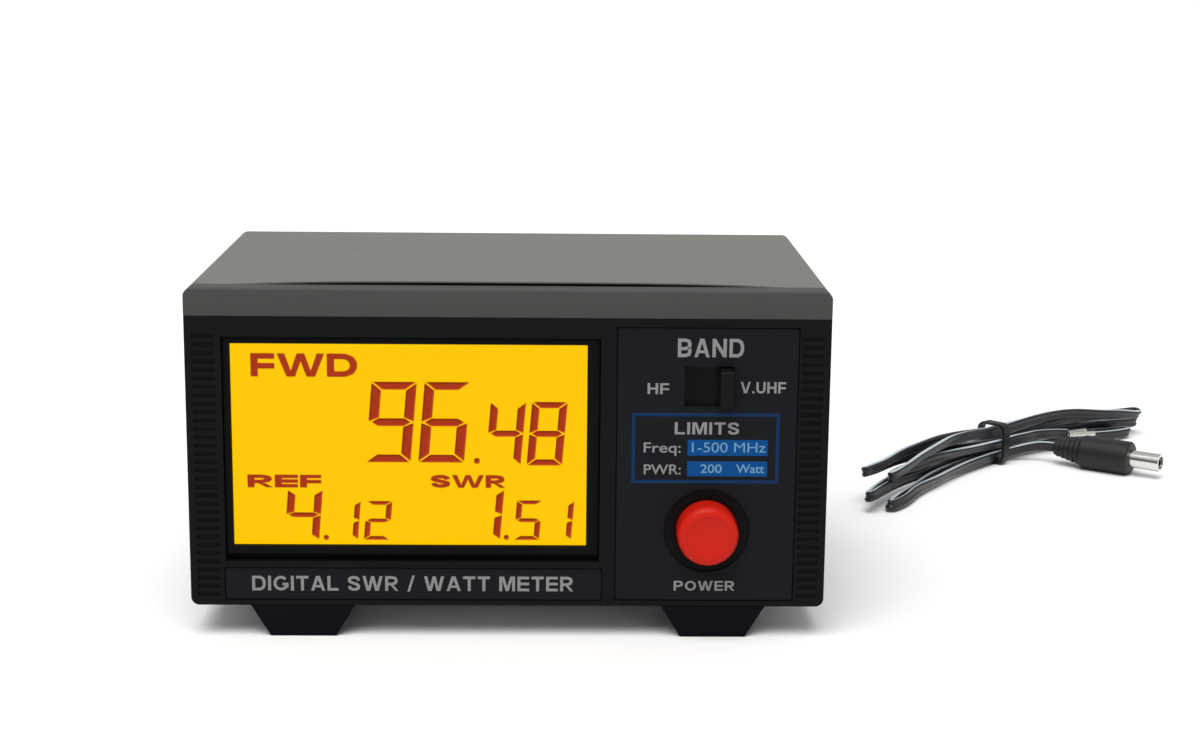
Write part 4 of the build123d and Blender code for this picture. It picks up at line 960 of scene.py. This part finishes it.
def print_panel():
    """Legends on the control panel."""
    capitals = [
        ("band_title", "BAND", (39.2, 54.6), (68.0, 72.4)),
        ("band_hf", "HF", (32.3, 37.3), (59.2, 61.8)),
        ("band_vuhf", "V.UHF", (54.0, 64.6), (59.5, 62.2)),
        ("power_legend", "POWER", (39.2, 53.6), (11.5, 13.9)),
        ("limits_title", "LIMITS", (38.8, 53.9), (49.6, 52.5)),
    ]
    for name, words, x, z in capitals:
        word_mesh(name, words, x, z, 0.21, LEGEND_BAR, PRINT, PANEL_Y)
    for name, words, x, z in (
        ("limits_freq", "Freq:", (31.6, 40.3), (44.4, 47.6)),
        ("limits_power", "PWR:", (31.7, 40.4), (39.9, 42.3)),
    ):
        lettering(name, words, x, z, PANEL_Y, PRINT, weight=0.008)
    x, z, line = (28.8, 63.4), (37.8, 54.7), 0.8
    prism(
        "limits_outline",
        [
            rectangle(x[0], x[1], z[0], z[0] + line),
            rectangle(x[0], x[1], z[1] - line, z[1]),
            rectangle(x[0], x[0] + line, z[0] + line, z[1] - line),
            rectangle(x[1] - line, x[1], z[0] + line, z[1] - line),
        ],
        PANEL_Y,
        PRINT_T,
        PRINT_EDGE,
        "case",
    )
    prism(
        "limits_bars",
        [rectangle(41.9, 60.7, 44.5, 48.3), rectangle(41.9, 60.7, 39.5, 43.1)],
        PANEL_Y,
        PRINT_T,
        PRINT_BLUE,
        "case",
    )
    bar_y = PANEL_Y - PRINT_T * MM
    lettering("limits_band", "1-500 MHz", (42.9, 60.2), (45.3, 47.7), bar_y, PRINT_PALE)
    lettering(
        "limits_watts", "200", (45.0, 50.0), (40.3, 42.4), bar_y, PRINT_PALE, weight=0.01,
    )
    lettering(
        "limits_unit", "Watt", (53.4, 60.0), (40.3, 42.4), bar_y, PRINT_PALE, weight=0.01,
    )


print_panel()
word_mesh(
    "strip_legend",
    "DIGITAL SWR / WATT METER",
    (-60.5, 15.3),
    (11.2, 14.8),
    LEGEND_STEM,
    LEGEND_BAR,
    PRINT,
    STRIP_Y,
)


# ---------------------------------------------------------------- button
def add_button():
    """The red cap: rounded shoulders, a slightly dished face, and a flange inside the bezel."""
    low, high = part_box("power_button")
    centre = Vector(((low.x + high.x) / 2, low.y, (low.z + high.z) / 2))
    radius, rounding = 7.2, 2.0
    flange, length = (high.x - low.x) / 2 / MM, (high.y - low.y) / MM
    profile = [(0.75, 0.0), (0.65, 2.5), (0.4, 4.6), (0.25, 5.2)]
    for step in range(7):
        turn = math.radians(15 * step)
        along = 0.15 + rounding * (1 - math.cos(turn))
        profile.append((along, radius - rounding + rounding * math.sin(turn)))
    profile += [(length - 1.6, radius), (length - 1.5, flange), (length, flange), (length, 0.0)]
    cap = lathe("button_cap", profile, centre, (0, 1, 0), [BUTTON])
    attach(cap, "power_button")
    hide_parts("power_button")


add_button()


# ---------------------------------------------------------------- rear
THREAD_PITCH, THREAD_DEPTH = 1.058, 0.45
SOCKETS = ("hf_tx", "hf_ant", "vuhf_tx", "vuhf_ant")
FLANGE_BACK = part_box("socket_flanges")[1].y


def add_thread(socket):
    """A helical ridge over the socket's barrel, between the flange and the mouth."""
    low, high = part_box(f"socket_shell_{socket}")
    centre = Vector(((low.x + high.x) / 2, 0, (low.z + high.z) / 2))
    root, start, end = (high.x - low.x) / 2, FLANGE_BACK + 0.4 * MM, high.y - 2.0 * MM
    turns, sides = (end - start) / (THREAD_PITCH * MM), 32
    bm = bmesh.new()
    rows = []
    for step in range(int(turns * sides) + 1):
        turn = math.tau * step / sides
        fade = min(1, step / sides, turns - step / sides)
        row = []
        for across, rise in ((-0.34, -0.05), (0, THREAD_DEPTH * 0.55 * fade), (0.34, -0.05)):
            radius = root + rise * MM
            along = start + (turn / math.tau + across) * THREAD_PITCH * MM
            place = (radius * math.cos(turn), along, radius * math.sin(turn))
            row.append(bm.verts.new(centre + Vector(place)))
        rows.append(row)
    for near, far in zip(rows, rows[1:]):
        for index in range(3):
            nxt = (index + 1) % 3
            bm.faces.new((near[index], near[nxt], far[nxt], far[index]))
    bm.faces.new(rows[0])
    bm.faces.new(rows[-1])
    bmesh.ops.recalc_face_normals(bm, faces=bm.faces)
    thread = from_bmesh(f"thread_{socket}", bm, [NICKEL])
    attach(thread, "case")


def rear_word(name, word, x, z):
    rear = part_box("rear_panel")[1].y
    word_mesh(name, word, x, z, LEGEND_STEM, LEGEND_BAR, PRINT, rear, facing=1)


def add_rear_legends():
    """Printed names over the sockets and by the DC jack."""
    for socket in SOCKETS:
        low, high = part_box(f"socket_shell_{socket}")
        middle = (low.x + high.x) / 2 / MM
        word, half = ("TX", 2.4) if socket.endswith("tx") else ("ANT", 4.0)
        rear_word(f"rear_{socket}", word, (middle - half, middle + half), (66.5, 69.6))
    for name, word, x, z in (
        ("rear_hf", "HF", (-40.6, -35.4), (71.8, 75.2)),
        ("rear_vuhf", "V.UHF", (23.6, 36.4), (71.8, 75.2)),
        ("rear_dc", "DC IN", (58.0, 70.0), (16.2, 18.6)),
    ):
        rear_word(name, word, x, z)


for socket_name in SOCKETS:
    add_thread(socket_name)
add_rear_legends()


# ---------------------------------------------------------------- materials on the CAD nodes
CAD_LOOKS = {
    "lcd_window": PANE,
    "lcd_backlight": GUIDE,
    "lcd_contact_strips": SILICONE,
    "power_switch_plunger": SWITCH,
    "power_switch_body": SWITCH,
    "power_switch_spring": SPRING,
    "band_switch_body": SWITCH,
    "display_board": BOARD,
    "board_screws": STEEL,
    "controller_chip": CHIP,
    "voltage_regulator": CHIP,
    "filter_capacitors": SLEEVE,
    "board_headers": NYLON,
    "trimmer_bodies": TRIMMER,
    "trimmer_rotor_fwd": BRASS,
    "trimmer_rotor_ref": BRASS,
    "bottom_chassis": CHASSIS,
    "rear_feet": RUBBER,
    "foot_screws": STEEL,
    "case_screws": BLACK_STEEL,
    "socket_screws": STEEL,
    "m3_nuts": STEEL,
    "socket_flanges": NICKEL,
    "socket_shell_hf_tx": NICKEL,
    "socket_shell_hf_ant": NICKEL,
    "socket_shell_vuhf_tx": NICKEL,
    "socket_shell_vuhf_ant": NICKEL,
    "socket_insulators": PTFE,
    "socket_contacts": GOLD,
    "hf_coupler_box": TIN,
    "coupler_lids": TIN,
    "coupler_boards": BOARD,
    "vuhf_coupler_box": TIN,
    "line_bars": GOLD,
    "hf_toroid": FERRITE,
    "dc_jack_body": JACK,
    "dc_jack_sleeve": JACK,
    "dc_jack_pin": PLUG_NICKEL,
    "dc_jack_nut": STEEL,
    "dc_wires": WIRE,
    "sense_cables": LEAD,
    "lead_plug_body": PLUG,
    "lead_plug_barrel": PLUG_NICKEL,
    "lead_plug_tip": TIP,
    "lead_tie": TIE,
    "lead_bare_ends": TINNED,
}
for node, look in CAD_LOOKS.items():
    nodes[node].data.materials.clear()
    nodes[node].data.materials.append(look)
    smooth(nodes[node], 30)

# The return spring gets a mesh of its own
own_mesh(nodes["power_switch_spring"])


# ---------------------------------------------------------------- stage
def add_stage():
    """A plain pale floor and soft light from above."""
    bm = bmesh.new()
    bmesh.ops.create_grid(bm, x_segments=1, y_segments=1, size=8.0)
    floor = from_bmesh("floor", bm, [material("floor_paint", (0.9, 0.9, 0.9), 0.8, specular=0.1, vary=0.01)])

    world = bpy.data.worlds.new("studio")
    scene.world = world
    world.use_nodes = True
    world.node_tree.nodes["Background"].inputs["Color"].default_value = (1, 1, 1, 1)
    world.node_tree.nodes["Background"].inputs["Strength"].default_value = 0.55

    sun = bpy.data.lights.new("key", "SUN")
    sun.energy = 2.6
    sun.angle = math.radians(50)
    key = bpy.data.objects.new("key", sun)
    key.rotation_euler = (math.radians(24), math.radians(-8), 0)
    scene.collection.objects.link(key)

    scene.view_settings.view_transform = "Standard"
    scene.view_settings.look = "None"


add_stage()
